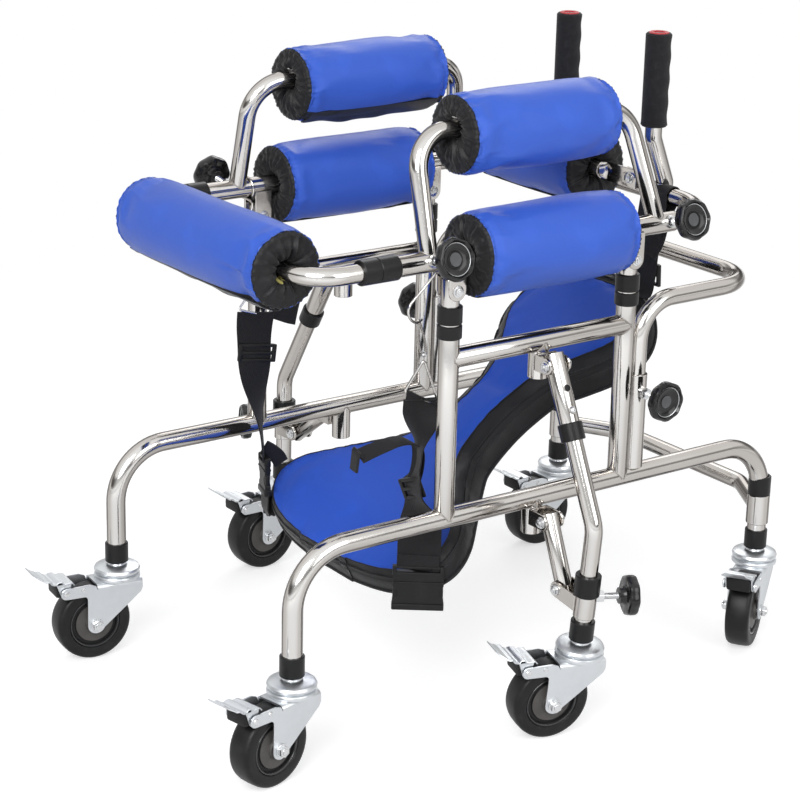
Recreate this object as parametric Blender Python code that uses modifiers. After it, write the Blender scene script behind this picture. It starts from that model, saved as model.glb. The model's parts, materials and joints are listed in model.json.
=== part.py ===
"""A pediatric standing and walking frame: a welded chrome base on six braked casters, a padded
ring that rises on four telescoping posts, two swinging outriggers, and a hanging fabric seat.

Metres, +Z up. The child faces -Y. "Right" is +X, the right side as seen from in front of the child.
Sizes are worked out in a frame whose origin is on the floor, on the centre plane, midway between the
front and rear legs. At the end the whole model is moved so that its origin is the middle of its
bounding box, on the floor.
"""

import math

import bmesh
import bpy
from mathutils import Matrix, Vector

# Tubes and fits
TUBE_R = 0.0125
INNER_R = 0.0110
TUBE_SIDES = 10
SMALL_SIDES = 8
BEND_STEP = math.radians(30)
FIT = 0.0003
BITE = 0.0015
PLATE = 0.0030
BOLT_R = 0.0030
BOLT_HEAD_R = 0.0060
BOLT_HEAD = 0.0040
COLLAR_WALL = 0.0025
WELD_STEP = 0.0002
TRUE_DIGITS = 6
POST_SPIN = math.radians(9)

# Base
HALF_TRACK = 0.207
HALF_WHEELBASE = 0.3706
LOWER_RAIL_Z = 0.2755
UPPER_RAIL_Z = 0.4755
RAIL_BEND_R = 0.070
FRONT_POST_Y = -0.156
REAR_POST_Y = 0.116
POST_TOP_Z = 0.5405
POST_BORE_DEPTH = 0.226
UPPER_COLLAR = 0.0215
LOWER_COLLAR = 0.0165
COLLAR_SPACE = 0.0015
FOOT_COLLAR = 0.0257
CROSS_BAR_Z = 0.180
CROSS_BAR_Y = 0.420
CROSS_BAR_STRAIGHT = 0.245
CROSS_BAR_BEND_R = 0.040
CROSS_SLEEVE = 0.0400
CROSS_SLEEVE_R = 0.0150
REAR_COLLAR = 0.0260

# Casters, in a frame at the swivel axis and the height of the leg's foot, wheel toward +X
WHEEL_R = 0.050
WHEEL_WIDTH = 0.032
WHEEL_CHAMFER = 0.0025
WHEEL_SIDES = 16
HUB_R = 0.0125
HUB_WIDTH = 0.0360
AXLE_R = 0.0050
TRAIL = 0.0375
CROWN_GAP = 0.0253
DISH_R = 0.0300
DISH_DEPTH = 0.0125
DISH_SIDES = 12
STEM_R = 0.0055
STEM_LENGTH = 0.036
CHEEK = 0.0025
CHEEK_GAP = 0.0390
AXLE_END = 0.0085
AXLE_NUT_R = 0.0085
PEDAL_PIVOT = (0.0775, -0.0260)
PEDAL_REACH = 0.120
PEDAL_RISE = 0.029
PEDAL_WIDTH = (0.040, 0.026)
PEDAL_PLATE = 0.0025
FOOT_Z = 2 * WHEEL_R + CROWN_GAP
HEADINGS = {
    "front_right": 281,
    "front_left": 263,
    "rear_right": 303,
    "rear_left": 270,
    "middle_right": 257,
    "middle_left": 272,
}

# Outriggers: distances from the swing bolt along the tube, then along the bent leg
OUTRIGGER_Y = -0.020
SWING_BOLT = (HALF_TRACK + 0.033, 0.454)
BRACE_BOLT = (HALF_TRACK + 0.036, 0.256)
OUTRIGGER_TILT = {"right": 25, "left": 31}
OUTRIGGER_BEND = 30.5
OUTRIGGER_BEND_R = 0.040
TUBE_ABOVE = 0.014
TUBE_BELOW = 0.093
LEG_TOP = 0.022
LEG_LOWER = 0.148
BUTTON_DROP = 0.057
BUTTON_R = 0.0042
SPARE_HOLE_DROP = 0.030
BUTTON_TURN = -3
SLEEVE_R = 0.0135
SLEEVE_COLLAR_R = 0.0160
SLEEVE_UP = 0.036
SLEEVE_DOWN = 0.020
SLEEVE_COLLAR = 0.027
SLEEVE_KNOB_Z = 0.006
BRACE_OFFSET = 0.040
BRACE_LENGTH = 0.0826
BRACE_SLACK = 0.0028
STUB_LENGTH = 0.045
EAR_REACH = 0.010

# Clamp knobs: distances along the stud from the axis of the tube that it clamps
KNOB_R = 0.0250
KNOB_RIM = 0.0130
KNOB_HUB_R = 0.0105
KNOB_REACH = 0.058
KNOB_STUD_R = 0.0040
KNOB_NUT = 0.0080
KNOB_NUT_R = 0.0080
KNOB_SIDES = 12

# Push bar
PUSH_SLEEVE_Y = 0.1400
PUSH_SLEEVE_R = 0.0135
PUSH_SLEEVE = (0.285, 0.408)
PUSH_KNOB_Z = 0.386
PUSH_BAR_Z = 0.4995
PUSH_BAR_BOTTOM = 0.305
PUSH_BAR_Y = 0.339
PUSH_BEND_R = 0.050
PUSH_CORNER_R = 0.065

# Ring that carries the pads
RING_Z = 0.597
RING_FRONT_Y = -0.262
RING_REAR_Y = 0.185
RING_COLLAR = 0.027
ARM_INSERT = 0.190
FRONT_KNOB_Y = -0.192
REAR_KNOB_Y = 0.168
RING_KNOB_TILT = {"right": 16, "left": 8}
POST_TUBE_BOTTOM = 0.322
POST_TUBE_TOP = 0.573
POST_BOLT_Z = 0.560
POST_EAR_LOW_Z = 0.549
POST_EAR_WIDTH = 0.024
HOOP_FRONT_Y = -0.188
HOOP_REAR_Y = 0.158
HOOP_REAR_TOP_Y = 0.130
HOOP_RISE = 0.146
HOOP_LEAN = 14
HOOP_BEND_R = 0.045

# Arms that slide out of the ring
FRONT_ARM_Y = -0.350
FRONT_ARM_BEND_R = 0.045
FRONT_ARM_COLLAR = 0.023
REAR_ARM_Y = 0.272
REAR_ARM_BEND_R = 0.085
HANDLE_X = 0.088
HANDLE_TOP_Z = 0.792
HANDLE_Y = 0.253
HANDLE_KINK_Z = 0.672
HANDLE_BEND_R = 0.022
GRIP_BOTTOM_Z = 0.687
GRIP_TOP_Z = 0.806
GRIP_R = 0.0170
GRIP_GROOVES = 4
GRIP_GROOVE_DEPTH = 0.0010

# Pads: radius, and the places of their ends
PAD_SIDES = 16
PAD_RINGS = 2
PAD_EDGE = 0.012
PAD_CROWN = 0.0015
SIDE_PAD_R = 0.050
SIDE_PAD_ENDS = (-0.138, 0.098)
ARM_PAD_R = 0.047
ARM_PAD_ENDS = (-0.136, 0.0915)
ARM_PAD_HANG = 0.007
FRONT_PAD_R = 0.047
FRONT_PAD_ENDS = (-0.157, 0.1615)
REAR_PAD_R = 0.048
REAR_PAD_HALF = 0.108
REAR_PAD_Y = 0.146
REAR_PAD_Z = 0.648
REAR_PAD_PLATE_X = HALF_TRACK - 0.031
REAR_LUG_HALF = 0.012

# Hanging seat: stations from front to rear as (y, z, half width, sag of the middle, side tilt,
# twist), and the tops of the straps as (distance in from the ring tube, y, z)
SEAT_THICKNESS = 0.006
SEAT_STATIONS = (
    (-0.192, 0.168, 0.110, 0.000, 0.00, 0.04),
    (-0.165, 0.184, 0.162, -0.004, 0.00, 0.04),
    (-0.130, 0.210, 0.184, -0.008, 0.00, 0.00),
    (-0.095, 0.228, 0.164, -0.010, 0.00, 0.00),
    (-0.050, 0.247, 0.114, -0.014, 0.00, 0.00),
    (-0.010, 0.262, 0.072, -0.014, 0.00, 0.00),
    (0.050, 0.298, 0.056, -0.014, 0.00, 0.00),
    (0.105, 0.334, 0.066, -0.014, 0.00, 0.00),
    (0.150, 0.364, 0.096, -0.014, 0.00, 0.00),
    (0.184, 0.388, 0.122, -0.014, 0.00, 0.00),
    (0.210, 0.408, 0.118, -0.012, 0.00, 0.00),
    (0.226, 0.424, 0.086, -0.008, 0.00, 0.00),
)
SEAT_ACROSS = 8
STRAP_THICKNESS = 0.003
STRAP_WIDTH = 0.048
STRAP_RISE = 0.050  # straight run of each front strap above its corner of the seat
STRAP_FACING = (0.6, 0.8, 0.0)
STRAP_TOPS = {"right": (0.047, -0.150, 0.402), "left": (0.041, -0.177, 0.530)}
HOOK_R = 0.0025
HOOK_TOP_Y = -0.176
BUCKLE = (0.060, 0.013, 0.052)
BUCKLE_DROP = 0.35

BLACK = (0.018, 0.018, 0.020)
CHROME = (0.74, 0.74, 0.75)
ZINC = (0.70, 0.72, 0.74)
BLUE = (0.02, 0.07, 0.50)
LOOKS = {
    "chrome": (CHROME, 0.12, 1.0),
    "zinc": (ZINC, 0.35, 1.0),
    "steel": (ZINC, 0.25, 1.0),
    "plastic": (BLACK, 0.40, 0.0),
    "tread": ((0.035, 0.035, 0.038), 0.55, 0.0),
    "foam": (BLACK, 0.85, 0.0),
    "webbing": (BLACK, 0.80, 0.0),
    "fabric": (BLUE, 0.45, 0.0),
}
SHARP = math.radians(40)
SIDES = {"right": 1, "left": -1}


def clear_scene():
    for thing in list(bpy.data.objects):
        bpy.data.objects.remove(thing, do_unlink=True)


def new_collection(name):
    group = bpy.data.collections.new(name)
    bpy.context.scene.collection.children.link(group)
    return group


def empty(name, matrix, parent=None):
    """An empty at a joint or a body's frame; matrix is in the parent's frame."""
    frame = bpy.data.objects.new(name, None)
    frame.empty_display_size = 0.03
    PARTS.objects.link(frame)
    frame.parent = parent
    frame.matrix_local = matrix
    bpy.context.view_layer.update()
    return frame


def from_bmesh(mesh_data, name="blank"):
    mesh = bpy.data.meshes.new(name)
    mesh_data.to_mesh(mesh)
    mesh_data.free()
    solid = bpy.data.objects.new(name, mesh)
    TOOLS.objects.link(solid)
    solid.hide_render = True
    solid.display_type = "WIRE"
    return solid


def bake(solid):
    """Turns an object's modifiers into its mesh."""
    graph = bpy.context.evaluated_depsgraph_get()
    mesh = bpy.data.meshes.new_from_object(solid.evaluated_get(graph))
    solid.modifiers.clear()
    solid.data = mesh
    return solid


def combine(solid, operation, others):
    for other in others:
        step = solid.modifiers.new(operation.lower(), "BOOLEAN")
        step.operation = operation
        step.solver = "EXACT"
        step.object = other
        bake(solid)
        bpy.data.objects.remove(other, do_unlink=True)
    return solid


def join(solid, *others):
    return combine(solid, "UNION", others)


def cut(solid, *others):
    return combine(solid, "DIFFERENCE", others)


def move(solid, matrix):
    solid.data.transform(matrix)
    return solid


def rod(start, end, radius, sides=TUBE_SIDES, spin=0.0):
    """A round bar between two points; spin turns its flats about its axis."""
    start = Vector(start)
    end = Vector(end)
    along = end - start
    data = bmesh.new()
    bmesh.ops.create_cone(
        data,
        cap_ends=True,
        segments=sides,
        radius1=radius,
        radius2=radius,
        depth=along.length,
    )
    turn = along.to_track_quat("Z", "Y").to_matrix().to_4x4()
    turn = turn @ Matrix.Rotation(spin, 4, "Z")
    data.transform(Matrix.Translation((start + end) / 2) @ turn)
    return from_bmesh(data)


def block(low, high):
    low = Vector(low)
    high = Vector(high)
    data = bmesh.new()
    bmesh.ops.create_cube(data, size=1.0)
    data.transform(Matrix.Translation((low + high) / 2) @ Matrix.Diagonal((*(high - low), 1.0)))
    return from_bmesh(data)


def plate(outline, thickness, axis="Y"):
    """A flat outline in the XZ plane (axis Y) or the YZ plane (axis X), thickened both ways."""
    curve = bpy.data.curves.new("outline", "CURVE")
    curve.dimensions = "2D"
    curve.fill_mode = "BOTH"
    curve.extrude = thickness / 2
    spline = curve.splines.new("POLY")
    spline.points.add(len(outline) - 1)
    for knot, point in zip(spline.points, outline):
        knot.co = (point[0], point[1], 0.0, 1.0)
    spline.use_cyclic_u = True
    turn = Matrix.Rotation(math.pi / 2, 4, "X")
    if axis == "X":
        turn = Matrix.Rotation(math.pi / 2, 4, "Z") @ turn
    return move(curve_mesh(curve), turn)


def flat_plate(outline, thickness):
    """A flat outline in the XY plane, thickened both ways."""
    return move(plate(outline, thickness), Matrix.Rotation(-math.pi / 2, 4, "X"))


def lobe(centre, radius, start, end, count=4):
    """Points of an arc in a flat outline, angles in degrees."""
    return [
        (
            centre[0] + radius * math.cos(math.radians(start + (end - start) * i / count)),
            centre[1] + radius * math.sin(math.radians(start + (end - start) * i / count)),
        )
        for i in range(count + 1)
    ]


def curve_mesh(curve):
    """A curve as a closed mesh object, its caps welded on."""
    path = bpy.data.objects.new("path", curve)
    TOOLS.objects.link(path)
    graph = bpy.context.evaluated_depsgraph_get()
    mesh = bpy.data.meshes.new_from_object(path.evaluated_get(graph))
    data = bmesh.new()
    data.from_mesh(mesh)
    bmesh.ops.remove_doubles(data, verts=data.verts, dist=1e-6)
    bmesh.ops.recalc_face_normals(data, faces=data.faces)
    bpy.data.objects.remove(path, do_unlink=True)
    bpy.data.meshes.remove(mesh)
    return from_bmesh(data)


def tube(points, radius, sides=TUBE_SIDES):
    """A round bar along a line of points."""
    curve = bpy.data.curves.new("tube", "CURVE")
    curve.dimensions = "3D"
    curve.bevel_depth = radius
    curve.bevel_resolution = sides // 2 - 2
    curve.use_fill_caps = True
    spline = curve.splines.new("POLY")
    spline.points.add(len(points) - 1)
    for knot, point in zip(spline.points, points):
        knot.co = (*point, 1.0)
    return curve_mesh(curve)


def trued(solid):
    """Rounds the corners, so that the sides of an upright tube are truly flat for a later join."""
    for vertex in solid.data.vertices:
        vertex.co = [round(value, TRUE_DIGITS) for value in vertex.co]
    return solid


def bent(corners, radii):
    """A line through corners, with each inner corner turned on an arc."""
    corners = [Vector(corner) for corner in corners]
    if isinstance(radii, float):
        radii = [radii] * (len(corners) - 2)
    points = [corners[0]]
    for before, corner, after, radius in zip(corners, corners[1:], corners[2:], radii):
        inward = (corner - before).normalized()
        onward = (after - corner).normalized()
        turn = inward.angle(onward)
        start = corner - inward * radius * math.tan(turn / 2)
        axis = inward.cross(onward).normalized()
        centre = start + axis.cross(inward) * radius
        count = max(2, round(turn / BEND_STEP))
        for i in range(count + 1):
            spoke = Matrix.Rotation(turn * i / count, 3, axis) @ (start - centre)
            points.append(centre + spoke)
    points.append(corners[-1])
    return points


def turned(profile, sides=TUBE_SIDES, ring=False):
    """A profile of (radius, height), from the top down its outer side, turned about Z."""
    data = bmesh.new()
    knots = [data.verts.new((radius, 0.0, height)) for radius, height in profile]
    for one, other in zip(knots, knots[1:]):
        data.edges.new((one, other))
    if ring:
        data.edges.new((knots[-1], knots[0]))
    solid = from_bmesh(data)
    screw = solid.modifiers.new("turn", "SCREW")
    screw.steps = sides
    screw.render_steps = sides
    screw.use_merge_vertices = True
    screw.merge_threshold = 0.00001
    return bake(solid)


def bore_r(radius, clearance=FIT):
    """Corner radius of a faceted bore that clears a round piece all round."""
    return (radius + clearance) / math.cos(math.pi / TUBE_SIDES)


def hexagon(start, end, radius):
    return rod(start, end, radius, sides=6)


def bolt(centre, axis, half, shank=BOLT_R, head_r=BOLT_HEAD_R, head_height=BOLT_HEAD):
    """A bolt through centre, its head and nut bearing at half either way along axis."""
    centre = Vector(centre)
    axis = Vector(axis)
    outer = half + head_height
    inner = half - FIT
    head = [(0.0, outer), (head_r, outer), (head_r, inner), (shank, inner)]
    body = turned([*head, *((r, -h) for r, h in reversed(head))], 6)
    turn = axis.to_track_quat("Z", "Y").to_matrix().to_4x4()
    return move(body, Matrix.Translation(centre) @ turn)


def paint(solid, look):
    """Gives an object a material of its own, named for it."""
    colour, roughness, metallic = LOOKS[look]
    skin = bpy.data.materials.new(solid.name)
    skin.use_nodes = True
    shader = skin.node_tree.nodes["Principled BSDF"]
    shader.inputs["Base Color"].default_value = (*colour, 1.0)
    shader.inputs["Roughness"].default_value = roughness
    shader.inputs["Metallic"].default_value = metallic
    skin.diffuse_color = (*colour, 1.0)
    if not solid.data.materials:
        solid.data.materials.append(None)
    slot = solid.material_slots[0]
    slot.link = "OBJECT"
    slot.material = skin


def finish(solid, name, look, frame, in_frame=False):
    """Names a piece, hangs it on its body's frame and moves its origin there."""
    if not in_frame:
        move(solid, frame.matrix_world.inverted())
    solid.name = name
    solid.data.name = name
    TOOLS.objects.unlink(solid)
    PARTS.objects.link(solid)
    solid.hide_render = False
    solid.display_type = "TEXTURED"
    solid.parent = frame
    solid.data.shade_smooth()
    solid.data.set_sharp_from_angle(angle=SHARP)
    paint(solid, look)
    return solid


def copy_of(solid):
    twin = solid.copy()
    twin.data = solid.data.copy()
    TOOLS.objects.link(twin)
    return twin


def ear_bracket(bolt_at, root_x, half_gap):
    """A channel of two ears on the outer face of a stub, in the outrigger's XZ plane."""
    x, z = bolt_at
    reach = x + EAR_REACH
    web = root_x + TUBE_R - BITE
    low = z - EAR_REACH
    high = z + EAR_REACH
    wide = half_gap + PLATE + WELD_STEP
    bracket = block((web, -wide, low - WELD_STEP), (web + PLATE, wide, high + WELD_STEP))
    inside = web + PLATE / 2
    outline = [(inside, low), *lobe((x, z), EAR_REACH, -90, 90), (inside, high)]
    if reach <= web:
        raise ValueError("the ears must reach past their web")
    for sign in (-1, 1):
        ear = plate(outline, PLATE)
        join(bracket, move(ear, Matrix.Translation((0, sign * (half_gap + PLATE / 2), 0))))
    return join(bracket, bolt((x, 0, z), (0, 1, 0), half_gap + PLATE))


def outrigger_frame(side):
    """The right outrigger's plane, turned half round for the left one."""
    turn = Matrix.Rotation(0 if side == "right" else math.pi, 4, "Z")
    return Matrix.Translation((0, OUTRIGGER_Y, 0)) @ turn


def side_frame(side, base):
    """One welded side: legs and lower rail, posts, upper rail, stubs and the push bar's sleeve."""
    x = SIDES[side] * HALF_TRACK
    corners = (
        (x, -HALF_WHEELBASE, FOOT_Z + BITE),
        (x, -HALF_WHEELBASE, LOWER_RAIL_Z),
        (x, HALF_WHEELBASE, LOWER_RAIL_Z),
        (x, HALF_WHEELBASE, FOOT_Z + BITE),
    )
    frame = trued(tube(bent(corners, RAIL_BEND_R), TUBE_R))
    collar_r = TUBE_R + COLLAR_WALL
    for y in (-HALF_WHEELBASE, HALF_WHEELBASE):
        join(frame, rod((x, y, FOOT_Z), (x, y, FOOT_Z + FOOT_COLLAR), collar_r))
    sleeve_top = CROSS_BAR_Z + CROSS_SLEEVE / 2 + FIT
    rear_collar = rod(
        (x, HALF_WHEELBASE, sleeve_top), (x, HALF_WHEELBASE, sleeve_top + REAR_COLLAR), collar_r
    )
    join(frame, rear_collar)
    join(frame, rod((x, FRONT_POST_Y, UPPER_RAIL_Z), (x, REAR_POST_Y, UPPER_RAIL_Z), TUBE_R))
    lower_top = POST_TOP_Z - UPPER_COLLAR - COLLAR_SPACE
    for y in (FRONT_POST_Y, REAR_POST_Y):
        bottom = (x, y, LOWER_RAIL_Z)
        post = rod(bottom, (x, y, POST_TOP_Z - BITE), TUBE_R + WELD_STEP, spin=POST_SPIN)
        upper = rod((x, y, POST_TOP_Z - UPPER_COLLAR), (x, y, POST_TOP_Z), collar_r)
        lower = rod((x, y, lower_top - LOWER_COLLAR), (x, y, lower_top), collar_r)
        join(frame, join(post, upper, lower))
    low, high = PUSH_SLEEVE
    join(frame, rod((x, PUSH_SLEEVE_Y, low), (x, PUSH_SLEEVE_Y, high), PUSH_SLEEVE_R))
    nut_start = (x, PUSH_SLEEVE_Y, PUSH_KNOB_Z)
    outward = Vector((SIDES[side], 0, 0))
    join(frame, knob_nut(nut_start, outward, PUSH_SLEEVE_R))
    for rail_z in (UPPER_RAIL_Z, LOWER_RAIL_Z):
        bottom = (x, OUTRIGGER_Y, rail_z - STUB_LENGTH)
        stub = rod((x, OUTRIGGER_Y, rail_z), bottom, TUBE_R + WELD_STEP, spin=POST_SPIN)
        join(frame, stub)
    turn = outrigger_frame(side)
    swing_ears = ear_bracket(SWING_BOLT, HALF_TRACK, TUBE_R + FIT)
    brace_ears = ear_bracket(BRACE_BOLT, HALF_TRACK, INNER_R + FIT)
    join(frame, move(swing_ears, turn), move(brace_ears, turn))
    floor = POST_TOP_Z - POST_BORE_DEPTH
    for y in (FRONT_POST_Y, REAR_POST_Y):
        top = (x, y, POST_TOP_Z + BITE)
        cut(frame, rod((x, y, floor), top, bore_r(INNER_R), spin=POST_SPIN))
    cut(
        frame,
        rod(
            (x, PUSH_SLEEVE_Y, PUSH_BAR_BOTTOM - 0.012),
            (x, PUSH_SLEEVE_Y, high + BITE),
            bore_r(INNER_R),
        ),
        knob_hole(nut_start, outward),
    )
    for y in (-HALF_WHEELBASE, HALF_WHEELBASE):
        stem_hole = rod((x, y, FOOT_Z - BITE), (x, y, FOOT_Z + STEM_LENGTH + BITE), bore_r(STEM_R))
        cut(frame, stem_hole)
    return finish(frame, f"side_frame_{side}", "chrome", base)


def knob_nut(centre, outward, tube_r):
    """The nut welded on a tube for a clamp knob."""
    centre = Vector(centre)
    return hexagon(
        centre + outward * (tube_r - BITE), centre + outward * (tube_r + KNOB_NUT), KNOB_NUT_R
    )


def knob_hole(centre, outward):
    """The hole through the nut and the tube's wall for a knob's stud."""
    centre = Vector(centre)
    radius = bore_r(KNOB_STUD_R, 0.0002)
    far = centre + outward * (TUBE_R + KNOB_NUT + COLLAR_WALL + 2 * BITE)
    return rod(centre + outward * (INNER_R - 0.004), far, radius)


def cross_bar(base):
    """The bar behind, welded to a sleeve on each rear leg."""
    corners = (
        (-HALF_TRACK, HALF_WHEELBASE, CROSS_BAR_Z),
        (-CROSS_BAR_STRAIGHT / 2, CROSS_BAR_Y, CROSS_BAR_Z),
        (CROSS_BAR_STRAIGHT / 2, CROSS_BAR_Y, CROSS_BAR_Z),
        (HALF_TRACK, HALF_WHEELBASE, CROSS_BAR_Z),
    )
    bar = tube(bent(corners, CROSS_BAR_BEND_R), INNER_R)
    low = CROSS_BAR_Z - CROSS_SLEEVE / 2
    high = CROSS_BAR_Z + CROSS_SLEEVE / 2
    for x in (-HALF_TRACK, HALF_TRACK):
        join(bar, rod((x, HALF_WHEELBASE, low), (x, HALF_WHEELBASE, high), CROSS_SLEEVE_R))
        bore = rod(
            (x, HALF_WHEELBASE, low - BITE), (x, HALF_WHEELBASE, high + BITE), bore_r(TUBE_R)
        )
        cut(bar, bore)
    return finish(bar, "rear_cross_bar", "chrome", base)


def caster_fork():
    """Stem, raceway dish, top plate, cheeks and axle, in the caster's frame."""
    top = -FIT
    dish = top - DISH_DEPTH
    neck = dish - 0.0015
    under = neck - 0.0075
    profile = (
        (0.0, top),
        (DISH_R - 0.006, top - 0.0005),
        (DISH_R, top - 0.006),
        (DISH_R - 0.002, dish),
        (DISH_R - 0.005, neck),
        (DISH_R, neck - 0.002),
        (DISH_R - 0.003, under),
        (0.0, under),
    )
    fork = turned(profile, DISH_SIDES)
    join(fork, rod((0, 0, top - BITE), (0, 0, STEM_LENGTH), STEM_R, SMALL_SIDES))
    half = CHEEK_GAP / 2
    axle_z = WHEEL_R - FOOT_Z
    arm_r = 0.0075
    outline = [
        (-0.026, neck - 0.0025),
        (-0.027, under - 0.001),
        *lobe((TRAIL, axle_z), 0.0120, 200, 380, 3),
        (TRAIL + 0.012, under - 0.022),
        (TRAIL + 0.020, PEDAL_PIVOT[1] - arm_r - 0.001),
        *lobe(PEDAL_PIVOT, arm_r, -90, 90, 3),
        (TRAIL + 0.004, neck - 0.0025),
    ]
    cheeks = plate(outline, CHEEK_GAP + 2 * CHEEK)
    wheel_space = block((-FOOT_Z, -half, -FOOT_Z), (FOOT_Z, half, under + WELD_STEP))
    pedal_space = block((PEDAL_PIVOT[0] - 0.022, -half, -FOOT_Z), (FOOT_Z, half, 0))
    cut(cheeks, wheel_space, pedal_space)
    centre = (TRAIL, 0, axle_z)
    axle = bolt(centre, (0, 1, 0), half + CHEEK, AXLE_R - 0.0005, AXLE_NUT_R, AXLE_END)
    return join(fork, cheeks, axle)


def caster_wheel():
    """A wheel about its axle, along local Y."""
    half = WHEEL_WIDTH / 2
    hub = HUB_WIDTH / 2
    bore = bore_r(AXLE_R)
    outer = [
        (HUB_R, hub),
        (WHEEL_R - WHEEL_CHAMFER, half),
        (WHEEL_R, half - WHEEL_CHAMFER),
    ]
    profile = [(bore, hub), *outer, *((r, -h) for r, h in reversed(outer)), (bore, -hub)]
    wheel = turned(profile, WHEEL_SIDES, ring=True)
    return move(wheel, Matrix.Rotation(math.pi / 2, 4, "X"))


def caster_pedal():
    """The brake pedal about its rivet, along local Y; its wing reaches out past the wheel."""
    half = CHEEK_GAP / 2 - FIT - 0.0006
    reach = PEDAL_REACH - PEDAL_PIVOT[0]
    rise = PEDAL_RISE
    outline = [
        (-0.010, 0.010),
        (0.004, -0.006),
        (0.013, -0.007),
        (0.014, 0.008),
        (0.028, 0.016),
        (reach, rise),
        (reach - 0.002, rise + 0.003),
        (0.026, 0.0195),
        (0.010, 0.0135),
        (-0.008, 0.0135),
    ]
    pedal = plate(outline, 2 * half)
    inner, outer = PEDAL_WIDTH
    start = reach - 0.030
    end = reach + 0.001
    outline = [(start, -inner / 2), (end, -outer / 2), (end, outer / 2), (start, inner / 2)]
    wing = flat_plate(outline, PEDAL_PLATE)
    tilt = math.atan2(rise - 0.016, reach - 0.028)
    turn = Matrix.Rotation(-tilt, 4, "Y") @ Matrix.Translation((-reach, 0, 0))
    return join(pedal, move(wing, Matrix.Translation((reach, 0, rise + 0.001)) @ turn))


def caster(place, foot, matrix, shapes):
    """A swivelling fork, its wheel and its pedal under a leg's foot."""
    turn = Matrix.Rotation(math.radians(HEADINGS[place]), 4, "Z")
    swivel = empty(f"swivel_{place}", matrix @ turn, foot)
    axle = empty(f"axle_{place}", Matrix.Translation((TRAIL, 0, WHEEL_R - FOOT_Z)), swivel)
    x, z = PEDAL_PIVOT
    rivet = empty(f"rivet_{place}", Matrix.Translation((x, 0, z)), swivel)
    looks = ("zinc", "tread", "zinc")
    names = ("caster_fork", "caster_wheel", "brake_pedal")
    for name, look, frame, shape in zip(names, looks, (swivel, axle, rivet), shapes):
        finish(copy_of(shape), f"{name}_{place}", look, frame, in_frame=True)
    return swivel


def knob():
    """A clamp knob whose stud runs along local X from the tube that it clamps."""
    start = INNER_R + FIT
    hub = KNOB_REACH - KNOB_RIM
    rim = KNOB_R
    profile = (
        (0.0, KNOB_REACH + 0.001),
        (0.015, KNOB_REACH),
        (rim - 0.003, KNOB_REACH + 0.004),
        (rim, KNOB_REACH + 0.001),
        (rim - 0.002, KNOB_REACH - 0.009),
        (KNOB_HUB_R, KNOB_REACH - 0.008),
        (KNOB_HUB_R, hub - 0.004),
        (0.0, hub - 0.004),
    )
    handle = turned(profile, KNOB_SIDES)
    join(handle, rod((0, 0, start), (0, 0, hub), KNOB_STUD_R, SMALL_SIDES))
    return move(handle, Matrix.Rotation(math.pi / 2, 4, "Y"))


def knob_frame(centre, outward):
    """The frame of a knob: X along its stud."""
    turn = Vector(outward).to_track_quat("X", "Z").to_matrix().to_4x4()
    return Matrix.Translation(centre) @ turn


def outrigger_tube():
    """The upper tube about the swing bolt; it hangs along local -Z."""
    shell = rod((0, 0, TUBE_ABOVE), (0, 0, BITE - TUBE_BELOW), TUBE_R)
    collar = rod((0, 0, 0.022 - TUBE_BELOW), (0, 0, -TUBE_BELOW), TUBE_R + COLLAR_WALL)
    join(shell, collar)
    bore = rod((0, 0, -LEG_TOP + 0.010), (0, 0, -TUBE_BELOW - BITE), bore_r(INNER_R))
    swing = rod((0, -0.02, 0), (0, 0.02, 0), bore_r(BOLT_R))
    cut(shell, bore, swing)
    out = Matrix.Rotation(math.radians(BUTTON_TURN), 3, "Z") @ Vector((1, 0, 0))
    for drop in (BUTTON_DROP, SPARE_HOLE_DROP):
        start = Vector((0, 0, -drop))
        cut(shell, rod(start + out * 0.006, start + out * 0.02, bore_r(BUTTON_R)))
    return shell


def outrigger_leg(extension):
    """The bent leg that telescopes in the upper tube and stands on a caster."""
    down = leg_down()
    bend = Vector((0, 0, -extension))
    foot = bend + down * LEG_LOWER
    leg = tube(bent(((0, 0, -LEG_TOP), bend, foot - down * BITE), OUTRIGGER_BEND_R), INNER_R)
    join(leg, rod(foot - down * FOOT_COLLAR, foot, TUBE_R + COLLAR_WALL))
    stem_hole = rod(foot + down * BITE, foot - down * (STEM_LENGTH + BITE), bore_r(STEM_R))
    button = Vector((0, 0, -BUTTON_DROP))
    out = Matrix.Rotation(math.radians(BUTTON_TURN), 3, "Z") @ Vector((1, 0, 0))
    pocket = rod(button - out * 0.002, button + out * 0.02, bore_r(BUTTON_R))
    return cut(leg, stem_hole, pocket)


def leg_down():
    """Direction of the leg below its bend, in the upper tube's frame."""
    bend = math.radians(OUTRIGGER_BEND)
    return Vector((-math.sin(bend), 0, -math.cos(bend)))


def snap_button():
    """The button through the tube's wall, about its own spring pocket, along local X."""
    rim = TUBE_R + 0.003
    profile = (
        (0.0, rim),
        (BUTTON_R * 0.6, rim - 0.0003),
        (BUTTON_R, rim - 0.0020),
        (BUTTON_R, 0.0035),
        (0.0, 0.0035),
    )
    return move(turned(profile, SMALL_SIDES), Matrix.Rotation(math.pi / 2, 4, "Y"))


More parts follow.
